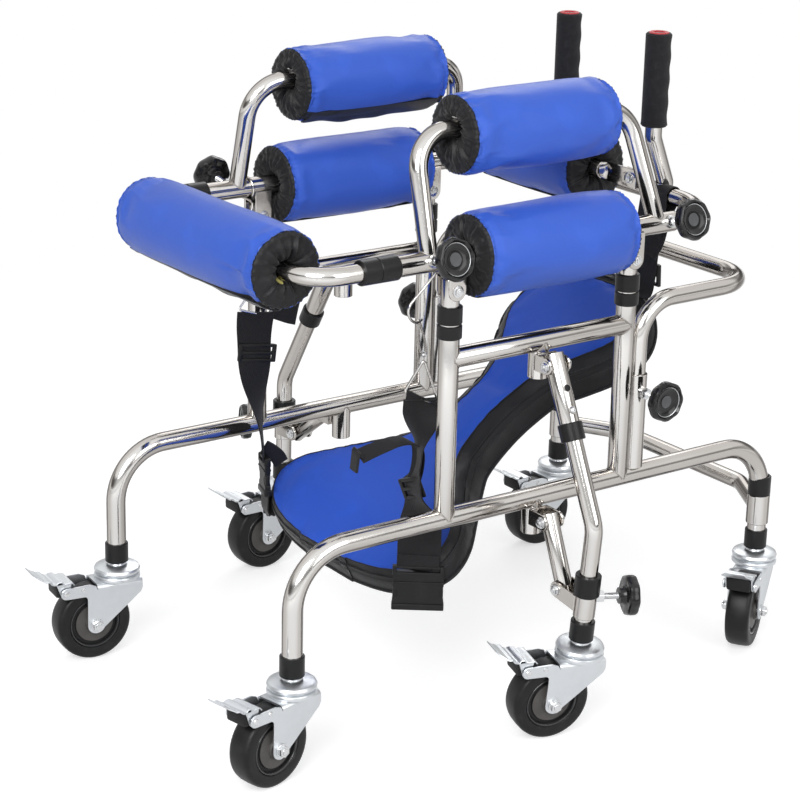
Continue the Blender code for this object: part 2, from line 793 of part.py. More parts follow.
def outrigger_sleeve():
    """The clamp sleeve on the bent leg, with the brace's bracket at local -X and a weld nut."""
    shell = rod((0, 0, SLEEVE_UP - BITE), (0, 0, -SLEEVE_DOWN), SLEEVE_R)
    collar = rod((0, 0, SLEEVE_UP), (0, 0, SLEEVE_UP - SLEEVE_COLLAR), SLEEVE_COLLAR_R)
    join(shell, collar)
    half = INNER_R + FIT + 0.0004
    x = -BRACE_OFFSET
    low = -0.012
    outline = [(-0.004, low), (-0.004, 0.008), *lobe((x, 0), EAR_REACH, 90, 270)]
    for sign in (-1, 1):
        ear = plate(outline, PLATE)
        join(shell, move(ear, Matrix.Translation((0, sign * (half + PLATE / 2), 0))))
    join(shell, bolt((x, 0, 0), (0, 1, 0), half + PLATE))
    out = knob_direction()
    seat = (0, 0, SLEEVE_KNOB_Z)
    join(shell, knob_nut(seat, out, SLEEVE_R))
    bore = rod((0, 0, SLEEVE_UP + BITE), (0, 0, -SLEEVE_DOWN - BITE), bore_r(INNER_R))
    return cut(shell, bore, knob_hole(seat, out))


def knob_direction():
    """Where the outrigger's clamp knob points, in the sleeve's frame."""
    return Vector((math.cos(math.radians(67)), math.sin(math.radians(67)), 0))


def outrigger_strut():
    """The brace about its upper bolt; it runs along local -Z to the sleeve's bracket."""
    end = 0.009
    strut = rod((0, 0, end), (0, 0, -BRACE_LENGTH - end), INNER_R)
    upper = rod((0, -0.02, 0), (0, 0.02, 0), bore_r(BOLT_R))
    slack = bore_r(BOLT_R, BRACE_SLACK)
    lower = rod((0, -0.02, -BRACE_LENGTH), (0, 0.02, -BRACE_LENGTH), slack)
    return cut(strut, upper, lower)


def wheel_drop(tilt, heading):
    """Height of a leg's foot above the floor when its caster leans with the leg by tilt."""
    lean = Matrix.Rotation(-tilt, 3, "Y") @ Matrix.Rotation(heading, 3, "Z")
    centre = lean @ Vector((TRAIL, 0, WHEEL_R - FOOT_Z))
    axis = lean @ Vector((0, 1, 0))
    flat = WHEEL_WIDTH / 2 - WHEEL_CHAMFER
    lowest = WHEEL_R * math.sqrt(1 - axis.z**2) + flat * abs(axis.z)
    return lowest - centre.z


def outrigger(side, base, shapes):
    """A swinging outrigger; its tilt sets how far the leg is out and where the sleeve clamps."""
    plane = outrigger_frame(side)
    tilt = math.radians(OUTRIGGER_TILT[side])
    lower = tilt - math.radians(OUTRIGGER_BEND)
    heading = math.radians(HEADINGS[f"middle_{side}"] + (180 if side == "left" else 0))
    drop = wheel_drop(lower, heading)
    x, z = SWING_BOLT
    extension = (z - drop - LEG_LOWER * math.cos(lower)) / math.cos(tilt)
    lean = Matrix.Rotation(-tilt, 4, "Y")
    swing = empty(f"swing_{side}", plane @ Matrix.Translation((x, 0, z)) @ lean, base)
    finish(outrigger_tube(), f"outrigger_tube_{side}", "chrome", swing, in_frame=True)
    finish(outrigger_leg(extension), f"outrigger_leg_{side}", "chrome", swing, in_frame=True)
    turn = Matrix.Rotation(math.radians(BUTTON_TURN), 4, "Z")
    pocket = empty(f"button_{side}", Matrix.Translation((0, 0, -BUTTON_DROP)) @ turn, swing)
    finish(snap_button(), f"snap_button_{side}", "steel", pocket, in_frame=True)
    bend = Vector((x + extension * math.sin(tilt), z - extension * math.cos(tilt)))
    down = Vector((math.sin(lower), -math.cos(lower)))
    inward = Vector((-math.cos(lower), -math.sin(lower)))
    gap = bend + inward * BRACE_OFFSET - Vector(BRACE_BOLT)
    along = gap.dot(down)
    slid = -along + math.sqrt(along**2 - gap.length_squared + BRACE_LENGTH**2)
    bow = Matrix.Rotation(math.radians(OUTRIGGER_BEND), 4, "Y")
    corner = Matrix.Translation((0, 0, -extension)) @ bow
    seat = empty(f"sleeve_{side}", corner @ Matrix.Translation((0, 0, -slid)), swing)
    finish(outrigger_sleeve(), f"outrigger_sleeve_{side}", "chrome", seat, in_frame=True)
    local = knob_frame((0, 0, SLEEVE_KNOB_Z), knob_direction())
    stud = empty(f"outrigger_knob_axis_{side}", local, seat)
    finish(copy_of(shapes["knob"]), f"outrigger_knob_{side}", "plastic", stud, in_frame=True)
    pin = bend + down * slid + inward * BRACE_OFFSET - Vector(BRACE_BOLT)
    swung = math.atan2(pin.x, -pin.y)
    x, z = BRACE_BOLT
    turned_in = plane @ Matrix.Translation((x, 0, z)) @ Matrix.Rotation(-swung, 4, "Y")
    brace = empty(f"brace_{side}", turned_in, base)
    finish(outrigger_strut(), f"outrigger_strut_{side}", "chrome", brace, in_frame=True)
    foot = corner @ Matrix.Translation((0, 0, -LEG_LOWER))
    undo = Matrix.Rotation(math.pi if side == "left" else 0, 4, "Z")
    caster(f"middle_{side}", swing, foot @ undo, shapes["caster"])


def push_bar(base):
    """The bar behind the posts, which slides in the side frames' sleeves."""
    corners = (
        (-HALF_TRACK, PUSH_SLEEVE_Y, PUSH_BAR_BOTTOM),
        (-HALF_TRACK, PUSH_SLEEVE_Y, PUSH_BAR_Z),
        (-HALF_TRACK, PUSH_BAR_Y, PUSH_BAR_Z),
        (HALF_TRACK, PUSH_BAR_Y, PUSH_BAR_Z),
        (HALF_TRACK, PUSH_SLEEVE_Y, PUSH_BAR_Z),
        (HALF_TRACK, PUSH_SLEEVE_Y, PUSH_BAR_BOTTOM),
    )
    radii = [PUSH_BEND_R, PUSH_CORNER_R, PUSH_CORNER_R, PUSH_BEND_R]
    slide = empty("push_bar_slide", Matrix.Translation((0, PUSH_SLEEVE_Y, PUSH_BAR_BOTTOM)), base)
    return finish(tube(bent(corners, radii), INNER_R), "push_bar", "chrome", slide)


def hoop_point(side, y, rise):
    """A point of a hoop, whose plane leans in over the ring's sleeve."""
    lean = math.radians(HOOP_LEAN)
    x = SIDES[side] * (HALF_TRACK - rise * math.sin(lean))
    return Vector((x, y, RING_Z + rise * math.cos(lean)))


def ring_frame(side, ring):
    """A ring sleeve with its hoop, the ears over the posts and the weld nuts of two knobs."""
    x = SIDES[side] * HALF_TRACK
    frame = rod((x, RING_FRONT_Y + BITE, RING_Z), (x, RING_REAR_Y, RING_Z), TUBE_R)
    collar_end = (x, RING_FRONT_Y + RING_COLLAR, RING_Z)
    collar = rod((x, RING_FRONT_Y, RING_Z), collar_end, TUBE_R + COLLAR_WALL)
    hoop_corners = (
        hoop_point(side, HOOP_FRONT_Y, 0.004),
        hoop_point(side, HOOP_FRONT_Y, HOOP_RISE),
        hoop_point(side, HOOP_REAR_TOP_Y, HOOP_RISE),
        hoop_point(side, HOOP_REAR_Y, 0.004),
    )
    join(frame, collar, tube(bent(hoop_corners, HOOP_BEND_R), INNER_R))
    ear_gap = INNER_R + FIT
    for y in (FRONT_POST_Y, REAR_POST_Y):
        outline = [
            (y + POST_EAR_WIDTH / 2, RING_Z),
            (y - POST_EAR_WIDTH / 2, RING_Z),
            *lobe((y, POST_BOLT_Z), POST_EAR_WIDTH / 2, 180, 360),
        ]
        for sign in (-1, 1):
            ear = plate(outline, PLATE, axis="X")
            offset = x + sign * (ear_gap + PLATE / 2)
            join(frame, move(ear, Matrix.Translation((offset, 0, 0))))
        join(frame, bolt((x, y, POST_BOLT_Z), (1, 0, 0), ear_gap + PLATE))
    lug_y = REAR_PAD_Y + PLATE / 2 + FIT
    hoop_x = abs(hoop_point(side, 0, REAR_PAD_Z - RING_Z).x)
    low = (REAR_PAD_PLATE_X - 0.018, lug_y, REAR_PAD_Z - REAR_LUG_HALF)
    high = (hoop_x, lug_y + PLATE, REAR_PAD_Z + REAR_LUG_HALF)
    lug = block(low, high)
    if side == "left":
        move(lug, Matrix.Rotation(math.pi, 4, "Z") @ Matrix.Translation((0, -2 * lug_y - PLATE, 0)))
    join(frame, lug)
    for y in (FRONT_KNOB_Y, REAR_KNOB_Y):
        join(frame, knob_nut((x, y, RING_Z), ring_knob_direction(side), TUBE_R))
    inner = bore_r(INNER_R)
    cut(frame, rod((x, RING_FRONT_Y - BITE, RING_Z), (x, RING_REAR_Y + BITE, RING_Z), inner))
    for y in (FRONT_KNOB_Y, REAR_KNOB_Y):
        cut(frame, knob_hole((x, y, RING_Z), ring_knob_direction(side)))
    return finish(frame, f"ring_frame_{side}", "chrome", ring)


def ring_knob_direction(side):
    tilt = math.radians(RING_KNOB_TILT[side])
    return Vector((SIDES[side] * math.cos(tilt), 0, math.sin(tilt)))


def height_post(place, x, y, ring):
    post = rod((x, y, POST_TUBE_BOTTOM), (x, y, POST_TUBE_TOP), INNER_R)
    cut(post, rod((x - 0.02, y, POST_BOLT_Z), (x + 0.02, y, POST_BOLT_Z), bore_r(BOLT_R)))
    return finish(post, f"height_post_{place}", "chrome", ring)


def roller(start, end, radius, core_r, hang=0.0):
    """A padded roller on a tube between two points, its ends rounded and drawn in."""
    start = Vector(start)
    end = Vector(end)
    half = (end - start).length / 2
    hem = core_r + hang + 0.006
    shoulder = [
        (0.0, half - 0.005),
        (hem, half - 0.002),
        (radius * 0.66, half),
        (radius - PAD_EDGE * 0.3, half - PAD_EDGE * 0.3),
    ]
    barrel = []
    for i in range(PAD_RINGS + 1):
        share = 2 * i / PAD_RINGS - 1
        height = -share * (half - PAD_EDGE)
        barrel.append((radius + PAD_CROWN * (1 - share**2), height))
    profile = [*shoulder, *barrel, *((r, -h) for r, h in reversed(shoulder))]
    turn = (end - start).to_track_quat("Z", "Y").to_matrix().to_4x4()
    middle = (start + end) / 2 - Vector((0, 0, hang))
    pad = move(turned(profile, PAD_SIDES), Matrix.Translation(middle) @ turn)
    past = (end - start).normalized() * BITE
    return cut(pad, rod(start - past, end + past, bore_r(core_r)))


def pads(ring, front):
    for side, sign in SIDES.items():
        x = sign * HALF_TRACK
        near, far = SIDE_PAD_ENDS
        side_pad = roller((x, near, RING_Z), (x, far, RING_Z), SIDE_PAD_R, TUBE_R)
        finish(side_pad, f"side_pad_{side}", "fabric", ring)
        near, far = ARM_PAD_ENDS
        ends = (hoop_point(side, near, HOOP_RISE), hoop_point(side, far, HOOP_RISE))
        arm_pad = roller(*ends, ARM_PAD_R, INNER_R, ARM_PAD_HANG)
        finish(arm_pad, f"armpit_pad_{side}", "fabric", ring)
    ends = [(x, FRONT_ARM_Y, RING_Z) for x in FRONT_PAD_ENDS]
    finish(roller(*ends, FRONT_PAD_R, INNER_R), "front_pad", "fabric", front)
    ends = ((-REAR_PAD_HALF, REAR_PAD_Y, REAR_PAD_Z), (REAR_PAD_HALF, REAR_PAD_Y, REAR_PAD_Z))
    finish(roller(*ends, REAR_PAD_R, INNER_R), "rear_pad", "fabric", ring)


def rear_pad_bar(ring):
    """The rear roller's tube, flattened at its ends and bolted to the hoops' lugs."""
    tube_end = REAR_PAD_HALF + 0.012
    bar = rod((-tube_end, REAR_PAD_Y, REAR_PAD_Z), (tube_end, REAR_PAD_Y, REAR_PAD_Z), INNER_R)
    for sign in (-1, 1):
        inner = sign * (tube_end - 0.006)
        outer = sign * (REAR_PAD_PLATE_X + 0.004)
        low = (min(inner, outer), REAR_PAD_Y - PLATE / 2, REAR_PAD_Z - REAR_LUG_HALF)
        high = (max(inner, outer), REAR_PAD_Y + PLATE / 2, REAR_PAD_Z + REAR_LUG_HALF)
        join(bar, block(low, high))
        x = sign * (REAR_PAD_PLATE_X - 0.008)
        start = (x, REAR_PAD_Y - PLATE / 2 - BOLT_HEAD, REAR_PAD_Z)
        join(bar, hexagon(start, (x, REAR_PAD_Y, REAR_PAD_Z), BOLT_HEAD_R))
    return finish(bar, "rear_pad_bar", "chrome", ring)


def front_arm(frame):
    inner_end = RING_FRONT_Y + ARM_INSERT
    corners = (
        (-HALF_TRACK, inner_end, RING_Z),
        (-HALF_TRACK, FRONT_ARM_Y, RING_Z),
        (HALF_TRACK, FRONT_ARM_Y, RING_Z),
        (HALF_TRACK, inner_end, RING_Z),
    )
    arm = tube(bent(corners, FRONT_ARM_BEND_R), INNER_R)
    end = RING_FRONT_Y - FIT
    for x in (-HALF_TRACK, HALF_TRACK):
        start = (x, end - FRONT_ARM_COLLAR, RING_Z)
        join(arm, rod(start, (x, end, RING_Z), TUBE_R + COLLAR_WALL))
    return finish(arm, "front_arm", "chrome", frame)


def rear_arm(frame):
    inner_end = RING_REAR_Y - ARM_INSERT
    corners = (
        (-HALF_TRACK, inner_end, RING_Z),
        (-HALF_TRACK, REAR_ARM_Y, RING_Z),
        (HALF_TRACK, REAR_ARM_Y, RING_Z),
        (HALF_TRACK, inner_end, RING_Z),
    )
    arm = tube(bent(corners, REAR_ARM_BEND_R), INNER_R)
    for sign in (-1, 1):
        x = sign * HANDLE_X
        stem = (
            (x, REAR_ARM_Y, RING_Z),
            (x, REAR_ARM_Y + 0.007, RING_Z + 0.012),
            (x, HANDLE_Y, HANDLE_KINK_Z),
            (x, HANDLE_Y, HANDLE_TOP_Z),
        )
        join(arm, tube(bent(stem, [0.010, HANDLE_BEND_R]), INNER_R))
    return finish(arm, "rear_arm", "chrome", frame)


def handle_grip(side, frame):
    """A foam grip with finger grooves over the handle's tube, closed at its top."""
    x = SIDES[side] * HANDLE_X
    length = GRIP_TOP_Z - GRIP_BOTTOM_Z
    profile = [(0.0, GRIP_TOP_Z), (GRIP_R - 0.004, GRIP_TOP_Z), (GRIP_R, GRIP_TOP_Z - 0.003)]
    for i in range(1, 2 * GRIP_GROOVES):
        height = GRIP_TOP_Z - length * i / (2 * GRIP_GROOVES)
        profile.append((GRIP_R - (i % 2) * GRIP_GROOVE_DEPTH, height))
    profile.extend([(GRIP_R, GRIP_BOTTOM_Z), (0.0, GRIP_BOTTOM_Z)])
    grip = turned(profile)
    bore = rod((0, 0, GRIP_BOTTOM_Z - BITE), (0, 0, HANDLE_TOP_Z + FIT), bore_r(INNER_R))
    move(cut(grip, bore), Matrix.Translation((x, HANDLE_Y, 0)))
    return finish(grip, f"handle_grip_{side}", "foam", frame)


def seat_surface(station, share):
    """A point of the seat; share runs from -1 at the left edge to 1 at the right edge."""
    y, z, half, sag, tilt, twist = station
    x = half * share
    lift = sag * (share**2 - 1) - tilt * x
    return Vector((x, y + twist * x, z + lift))


def strap(points, width, facing):
    """A flat band through points; facing is the way that its width runs."""
    facing = Vector(facing).normalized()
    data = bmesh.new()
    rows = []
    for point in points:
        point = Vector(point)
        rows.append([data.verts.new(point + facing * width / 2 * s) for s in (-1, 1)])
    for one, other in zip(rows, rows[1:]):
        data.faces.new((one[0], one[1], other[1], other[0]))
    return thicken(from_bmesh(data), STRAP_THICKNESS)


def thicken(sheet, thickness):
    solid = sheet.modifiers.new("thickness", "SOLIDIFY")
    solid.thickness = thickness
    solid.offset = 0.0
    solid.use_even_offset = True
    bake(sheet)
    data = bmesh.new()
    data.from_mesh(sheet.data)
    bmesh.ops.recalc_face_normals(data, faces=data.faces)
    data.to_mesh(sheet.data)
    data.free()
    return sheet


def seat(ring):
    """The hanging seat with its two front straps and their buckles, sewn as one."""
    data = bmesh.new()
    rows = [
        [
            data.verts.new(seat_surface(station, 2 * i / SEAT_ACROSS - 1))
            for i in range(SEAT_ACROSS + 1)
        ]
        for station in SEAT_STATIONS
    ]
    for one, other in zip(rows, rows[1:]):
        for a, b, c, d in zip(one, one[1:], other[1:], other):
            data.faces.new((a, b, c, d))
    sling = thicken(from_bmesh(data), SEAT_THICKNESS)
    width, depth, height = BUCKLE
    turn = Vector(STRAP_FACING).to_track_quat("X", "Z").to_matrix().to_4x4()
    for side, sign in SIDES.items():
        corner = seat_surface(SEAT_STATIONS[1], sign * 0.93)
        inward, top_y, top_z = STRAP_TOPS[side]
        top = Vector((sign * (HALF_TRACK - inward), top_y, top_z))
        low = corner + Vector((0, 0, STRAP_RISE))
        band = strap((corner, low, (low + top) / 2, top), STRAP_WIDTH, STRAP_FACING)
        buckle = block((-width / 2, -depth / 2, -height / 2), (width / 2, depth / 2, height / 2))
        move(buckle, Matrix.Translation(corner - Vector((0, 0, height * BUCKLE_DROP))) @ turn)
        hung = Vector((sign * HALF_TRACK, HOOK_TOP_Y, RING_Z - TUBE_R - HOOK_R))
        hook = rod(top - Vector((0, 0, BITE)), hung, HOOK_R, SMALL_SIDES)
        join(sling, band, buckle, hook)
    return finish(sling, "seat_sling", "fabric", ring)


def rear_strap(side, frame):
    """The strap from the seat's rear corner up to the rear arm."""
    sign = SIDES[side]
    top = Vector((sign * HANDLE_X, REAR_ARM_Y, RING_Z - INNER_R - FIT))
    low = seat_surface(SEAT_STATIONS[-1], sign * 0.8) + Vector((0, 0.012, 0.008))
    middle = (top + low) / 2 - Vector((0, 0.004, 0))
    band = strap((low, middle, top), STRAP_WIDTH, (1, 0, 0))
    return finish(band, f"rear_strap_{side}", "webbing", frame)


def recentre(root):
    """Moves the model so that the middle of its bounding box is over the origin."""
    bpy.context.view_layer.update()
    corners = [
        piece.matrix_world @ vertex.co
        for piece in PARTS.objects
        if piece.type == "MESH"
        for vertex in piece.data.vertices
    ]
    xs = [corner.x for corner in corners]
    ys = [corner.y for corner in corners]
    root.location.x = -(min(xs) + max(xs)) / 2
    root.location.y = -(min(ys) + max(ys)) / 2
    bpy.context.view_layer.update()


def build():
    root = empty("standing_frame", Matrix())
    ring = empty("ring", Matrix.Translation((0, 0, POST_TUBE_BOTTOM)), root)
    front = empty("front_slide", Matrix.Translation((0, RING_FRONT_Y, RING_Z - POST_TUBE_BOTTOM)), ring)
    rear = empty("rear_slide", Matrix.Translation((0, RING_REAR_Y, RING_Z - POST_TUBE_BOTTOM)), ring)
    shapes = {"knob": knob(), "caster": (caster_fork(), caster_wheel(), caster_pedal())}
    for side, sign in SIDES.items():
        x = sign * HALF_TRACK
        side_frame(side, root)
        ring_frame(side, ring)
        for end, y in (("front", -HALF_WHEELBASE), ("rear", HALF_WHEELBASE)):
            caster(f"{end}_{side}", root, Matrix.Translation((x, y, FOOT_Z)), shapes["caster"])
        for end, y in (("front", FRONT_POST_Y), ("rear", REAR_POST_Y)):
            height_post(f"{end}_{side}", x, y, ring)
        outrigger(side, root, shapes)
        places = {
            "front_arm_knob": ((x, FRONT_KNOB_Y, RING_Z), ring_knob_direction(side), ring),
            "rear_arm_knob": ((x, REAR_KNOB_Y, RING_Z), ring_knob_direction(side), ring),
            "push_bar_knob": ((x, PUSH_SLEEVE_Y, PUSH_KNOB_Z), (sign, 0, 0), root),
        }
        for name, (centre, outward, body) in places.items():
            local = body.matrix_world.inverted() @ knob_frame(centre, outward)
            axis = empty(f"{name}_axis_{side}", local, body)
            finish(copy_of(shapes["knob"]), f"{name}_{side}", "plastic", axis, in_frame=True)
        handle_grip(side, rear)
        rear_strap(side, rear)
    cross_bar(root)
    push_bar(root)
    rear_pad_bar(ring)
    front_arm(front)
    rear_arm(rear)
    pads(ring, front)
    seat(ring)
    for shape in (shapes["knob"], *shapes["caster"]):
        bpy.data.objects.remove(shape, do_unlink=True)
    recentre(root)


clear_scene()
PARTS = new_collection("standing_frame")
TOOLS = new_collection("cutters")
build()
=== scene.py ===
"""The looks of a child's standing and walking frame: bright tubes, blue padded rollers with drawn
ends, a hanging fabric seat, black knobs and braked casters. Sizes are metres in the model's own
frame: the floor is Z 0, the child faces -Y, and the frame's middle plane is X 0."""

import json
import math
import random

import bmesh
import bpy
import numpy as np
from mathutils import Matrix, Vector, noise


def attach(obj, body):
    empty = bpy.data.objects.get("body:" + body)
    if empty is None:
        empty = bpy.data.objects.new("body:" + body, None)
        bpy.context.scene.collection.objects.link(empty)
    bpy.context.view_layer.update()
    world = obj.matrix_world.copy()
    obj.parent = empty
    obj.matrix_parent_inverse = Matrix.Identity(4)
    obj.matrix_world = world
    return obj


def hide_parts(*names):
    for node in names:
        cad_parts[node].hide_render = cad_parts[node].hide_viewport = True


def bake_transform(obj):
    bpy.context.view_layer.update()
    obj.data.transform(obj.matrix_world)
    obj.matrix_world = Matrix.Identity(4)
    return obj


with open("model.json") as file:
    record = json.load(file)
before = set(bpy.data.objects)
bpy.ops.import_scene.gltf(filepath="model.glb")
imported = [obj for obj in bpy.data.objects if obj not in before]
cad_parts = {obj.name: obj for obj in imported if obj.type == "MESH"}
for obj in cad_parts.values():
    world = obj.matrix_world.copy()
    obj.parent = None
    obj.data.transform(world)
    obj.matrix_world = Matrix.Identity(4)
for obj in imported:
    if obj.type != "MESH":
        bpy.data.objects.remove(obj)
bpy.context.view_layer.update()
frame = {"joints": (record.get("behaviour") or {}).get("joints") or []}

bl_info = {
    "name": "Standing frame dressing",
    "version": (1, 0, 0),
    "blender": (4, 5, 0),
    "location": "3D View > Sidebar > Standing frame",
    "description": "Dresses a child's standing frame: tubes, casters, rollers, seat, straps and a studio",
    "category": "Object",
}

JOINTS = {joint["name"]: joint for joint in frame["joints"]}
SIDES = {"right": 1, "left": -1}
PLACES = [f"{end}_{side}" for side in SIDES for end in ("front", "rear", "middle")]

# Where the model's own frame stands in the part's frame
SHIFT = Matrix.Translation((0.016652, 0.030941, 0.0))

# Sizes that the solids share
TUBE_R = 0.0125
INNER_R = 0.011
COLLAR_R = 0.015
PLATE = 0.003
HALF_TRACK = 0.207
LEG_Y = 0.3706
FOOT_Z = 0.1253
LOWER_RAIL_Z = 0.2755
UPPER_RAIL_Z = 0.4755
POST_YS = (-0.156, 0.116)
POST_TOP_Z = 0.5405
RING_Z = 0.597
RING_YS = (-0.262, 0.185)
STUB_Y = -0.02
FRONT_ARM_Y = -0.35
REAR_ARM_Y = 0.272
HANDLE_X = 0.088
HANDLE_Y = 0.253
HOOP_RISE = 0.146
HOOP_LEAN = math.radians(14)
TRAIL = 0.0375
WHEEL_R = 0.05
AXLE_DROP = WHEEL_R - FOOT_Z
CROSS_BAR_Z = 0.18
PUSH_SLEEVE = (0.14, 0.285, 0.408)
PUSH_KNOB_Z = 0.386
PUSH_BAR_Z = 0.4995
PUSH_BAR_Y = 0.339
SIDE_ROLLER_YS = (-0.138, 0.098)
SIDE_ROLLER_R = 0.049
ARMPIT_ROLLER_YS = (-0.136, 0.0915)
FRONT_ROLLER_XS = (-0.157, 0.1615)
SLIM_ROLLER_R = 0.046
REAR_ROLLER_HALF = 0.108
REAR_ROLLER_R = 0.047
SWING_BOLT = (HALF_TRACK + 0.033, 0.454)
BRACE_BOLT = (HALF_TRACK + 0.036, 0.256)
LEG_LOWER = 0.148
BRACE_OFFSET = 0.04
BRACE_LENGTH = 0.0826
POST_BOLT_Z = 0.56
REAR_PAD_Y = 0.146
REAR_PAD_Z = 0.648
REAR_PLATE_X = HALF_TRACK - 0.031
PIVOT = Vector((0.0775, 0.0, -0.026))
OUTRIGGER_BEND = math.radians(30.5)
OUTRIGGER_TILT = {"right": math.radians(25), "left": math.radians(31)}


# What a user may change


def colour_property(name, description, default):
    return bpy.props.FloatVectorProperty(
        name=name, description=description, default=default, size=3, min=0, max=1, subtype="COLOR"
    )


def length_property(name, description, default):
    return bpy.props.FloatProperty(
        name=name, description=description, default=default, min=0, unit="LENGTH", subtype="DISTANCE"
    )


class STAND_PG_colours(bpy.types.PropertyGroup):
    """Base colours of the finishes."""

    plating: colour_property("Plating", "Bright plated steel of the tubes", (0.77, 0.755, 0.735))
    zinc: colour_property("Zinc", "Zinc plate of the casters", (0.72, 0.745, 0.77))
    pad: colour_property("Pad cloth", "Coated cloth of the rollers", (0.045, 0.125, 0.6))
    seat: colour_property("Seat cloth", "Laminated cloth of the seat", (0.026, 0.1, 0.59))
    black: colour_property("Black cloth", "Drawn ends, webbing and binding", (0.0095, 0.0095, 0.011))
    plastic: colour_property("Black plastic", "Knobs, collars and buckles", (0.008, 0.008, 0.0085))
    rubber: colour_property("Rubber", "Wheel treads", (0.007, 0.007, 0.0075))
    cap: colour_property("Grip ring", "Red ring at the top of each grip", (0.45, 0.025, 0.035))


class STAND_PG_sizes(bpy.types.PropertyGroup):
    """Sizes of the soft pieces."""

    fold_count: bpy.props.IntProperty(
        name="Folds", description="Folds drawn round each end of a roller", default=19, min=6, max=40
    )
    fold_depth: length_property("Fold depth", "How deep the drawn folds are", 0.005)
    webbing: length_property("Webbing", "Width of the straps", 0.048)
    stitch: length_property("Stitch", "Length of one stitch", 0.0036)


def colours():
    return bpy.context.scene.stand_colours


def sizes():
    return bpy.context.scene.stand_sizes


# Shader maths


class Value:
    """One output of a finish's nodes; arithmetic on it adds Math nodes."""

    def __init__(self, finish, socket):
        self.finish = finish
        self.socket = socket

    def math(self, operation, *terms):
        return self.finish.node("Math", {"operation": operation}, dict(enumerate(terms)))

    def __add__(self, other):
        return self.math("ADD", self, other)

    def __radd__(self, other):
        return self.math("ADD", other, self)

    def __sub__(self, other):
        return self.math("SUBTRACT", self, other)

    def __rsub__(self, other):
        return self.math("SUBTRACT", other, self)

    def __mul__(self, other):
        return self.math("MULTIPLY", self, other)

    def __rmul__(self, other):
        return self.math("MULTIPLY", other, self)

    def __pow__(self, other):
        return self.math("POWER", self, other)

    def step(self, low, high):
        """0 below low, 1 above high, smooth between."""
        values = {"Value": self, "From Min": low, "From Max": high}
        return self.finish.node("MapRange", {"interpolation_type": "SMOOTHSTEP"}, values)


class Finish:
    """A material with one Principled shader, and the one way to add nodes to it."""

    def __init__(self, name, colour, roughness, metallic=0.0, **constants):
        self.material = bpy.data.materials.new(name)
        self.material.use_nodes = True
        self.tree = self.material.node_tree
        self.shader = self.tree.nodes["Principled BSDF"]
        self.feed("Base Color", colour if isinstance(colour, Value) else (*colour, 1.0))
        self.feed("Roughness", roughness)
        self.feed("Metallic", metallic)
        for key, value in constants.items():
            self.feed(key.replace("_", " "), value)
        self.material.diffuse_color = (*(colour[:3] if not isinstance(colour, Value) else (0.5,) * 3), 1.0)

    def feed(self, key, value):
        socket = self.shader.inputs[key]
        if isinstance(value, Value):
            self.tree.links.new(value.socket, socket)
        else:
            socket.default_value = value

    def node(self, kind, settings=None, values=None, out=0):
        made = self.tree.nodes.new(f"ShaderNode{kind}")
        for key, value in (settings or {}).items():
            setattr(made, key, value)
        for key, value in (values or {}).items():
            socket = made.inputs[key]
            if isinstance(value, Value):
                self.tree.links.new(value.socket, socket)
            else:
                socket.default_value = value
        return Value(self, made.outputs[out])

    def place(self, kind="Object"):
        return self.node("TexCoord", out=kind)

    def noise(self, where, scale, detail=2.0, roughness=0.5):
        values = {"Vector": where, "Scale": scale, "Detail": detail, "Roughness": roughness}
        return self.node("TexNoise", values=values)

    def mix(self, share, one, other):
        return self.node("Mix", {"data_type": "RGBA"}, {0: share, 6: one, 7: other}, out=2)

    def stretch(self, where, scale):
        return self.node("Mapping", values={"Vector": where, "Scale": scale})

    def parts(self, where):
        made = self.tree.nodes.new("ShaderNodeSeparateXYZ")
        self.tree.links.new(where.socket, made.inputs[0])
        return [Value(self, made.outputs[i]) for i in range(3)]

    def bump(self, height, distance, strength=1.0, under=None):
        values = {"Height": height, "Distance": distance, "Strength": strength}
        if under is not None:
            values["Normal"] = under
        return self.node("Bump", values=values)


def tinted(colour, factor):
    return (*(min(1.0, part * factor) for part in colour), 1.0)


FINISHES = {}


def finish(name):
    """A finish by name, made when it is first asked for."""
    if name not in FINISHES:
        FINISHES[name] = MAKERS[name](name).material
    return FINISHES[name]


def metal(colour, rough, spread, mottle=0.1, scale=30.0, grain=0.00004):
    """Plated metal: cloudy roughness, faint stains and a fine grain."""

    def make(name):
        tone = colour()
        made = Finish(name, tone, rough, 1.0)
        where = made.place()
        cloud = made.noise(where, scale, 4.0)
        fine = made.noise(where, 900.0, 2.0)
        stain = made.noise(where, scale * 0.35, 5.0, 0.6).step(0.48, 0.72)
        clean, stained = tinted(tone, 1.0), tinted(tone, 1 - 2.2 * mottle)
        made.feed("Base Color", made.mix(stain * mottle * 2, clean, stained))
        made.feed("Roughness", rough + cloud * spread + stain * spread * 0.5)
        made.feed("Normal", made.bump(fine + cloud * 2.0, grain, 0.5))
        return made

    return make


def plated(name):
    """Polished plated tube with painted reflections in its base colour, set by facing angle: pale along its
    middle, beige further out, then a painted dark brown-grey reflection band by its edges.
    """
    tone = colours().plating
    made = Finish(name, tone, 0.085, 1.0)
    where = made.place()
    cloud = made.noise(where, 30.0, 4.0)
    fine = made.noise(where, 900.0, 2.0)
    patch = made.noise(where, 7.0, 3.0)
    # Painted reflection: by facing angle the colour turns beige, then takes a dark brown-grey band near the
    # silhouette
    facing = made.node("LayerWeight", None, {"Blend": 0.5}, "Facing") + (patch - 0.5) * 0.2
    beige = made.mix(facing.step(0.06, 0.3) * 0.75, tinted(tone, 1.0), (0.5, 0.465, 0.43, 1.0))
    painted_edge_reflection = facing.step(0.42, 0.56) * (1 - facing.step(0.72, 0.88))
    made.feed("Base Color", made.mix(painted_edge_reflection * 0.85, beige, (0.13, 0.115, 0.105, 1.0)))
    made.feed("Roughness", 0.07 + cloud * 0.1)
    made.feed("Normal", made.bump(fine + cloud * 2.0, 0.00004, 0.5))
    return made


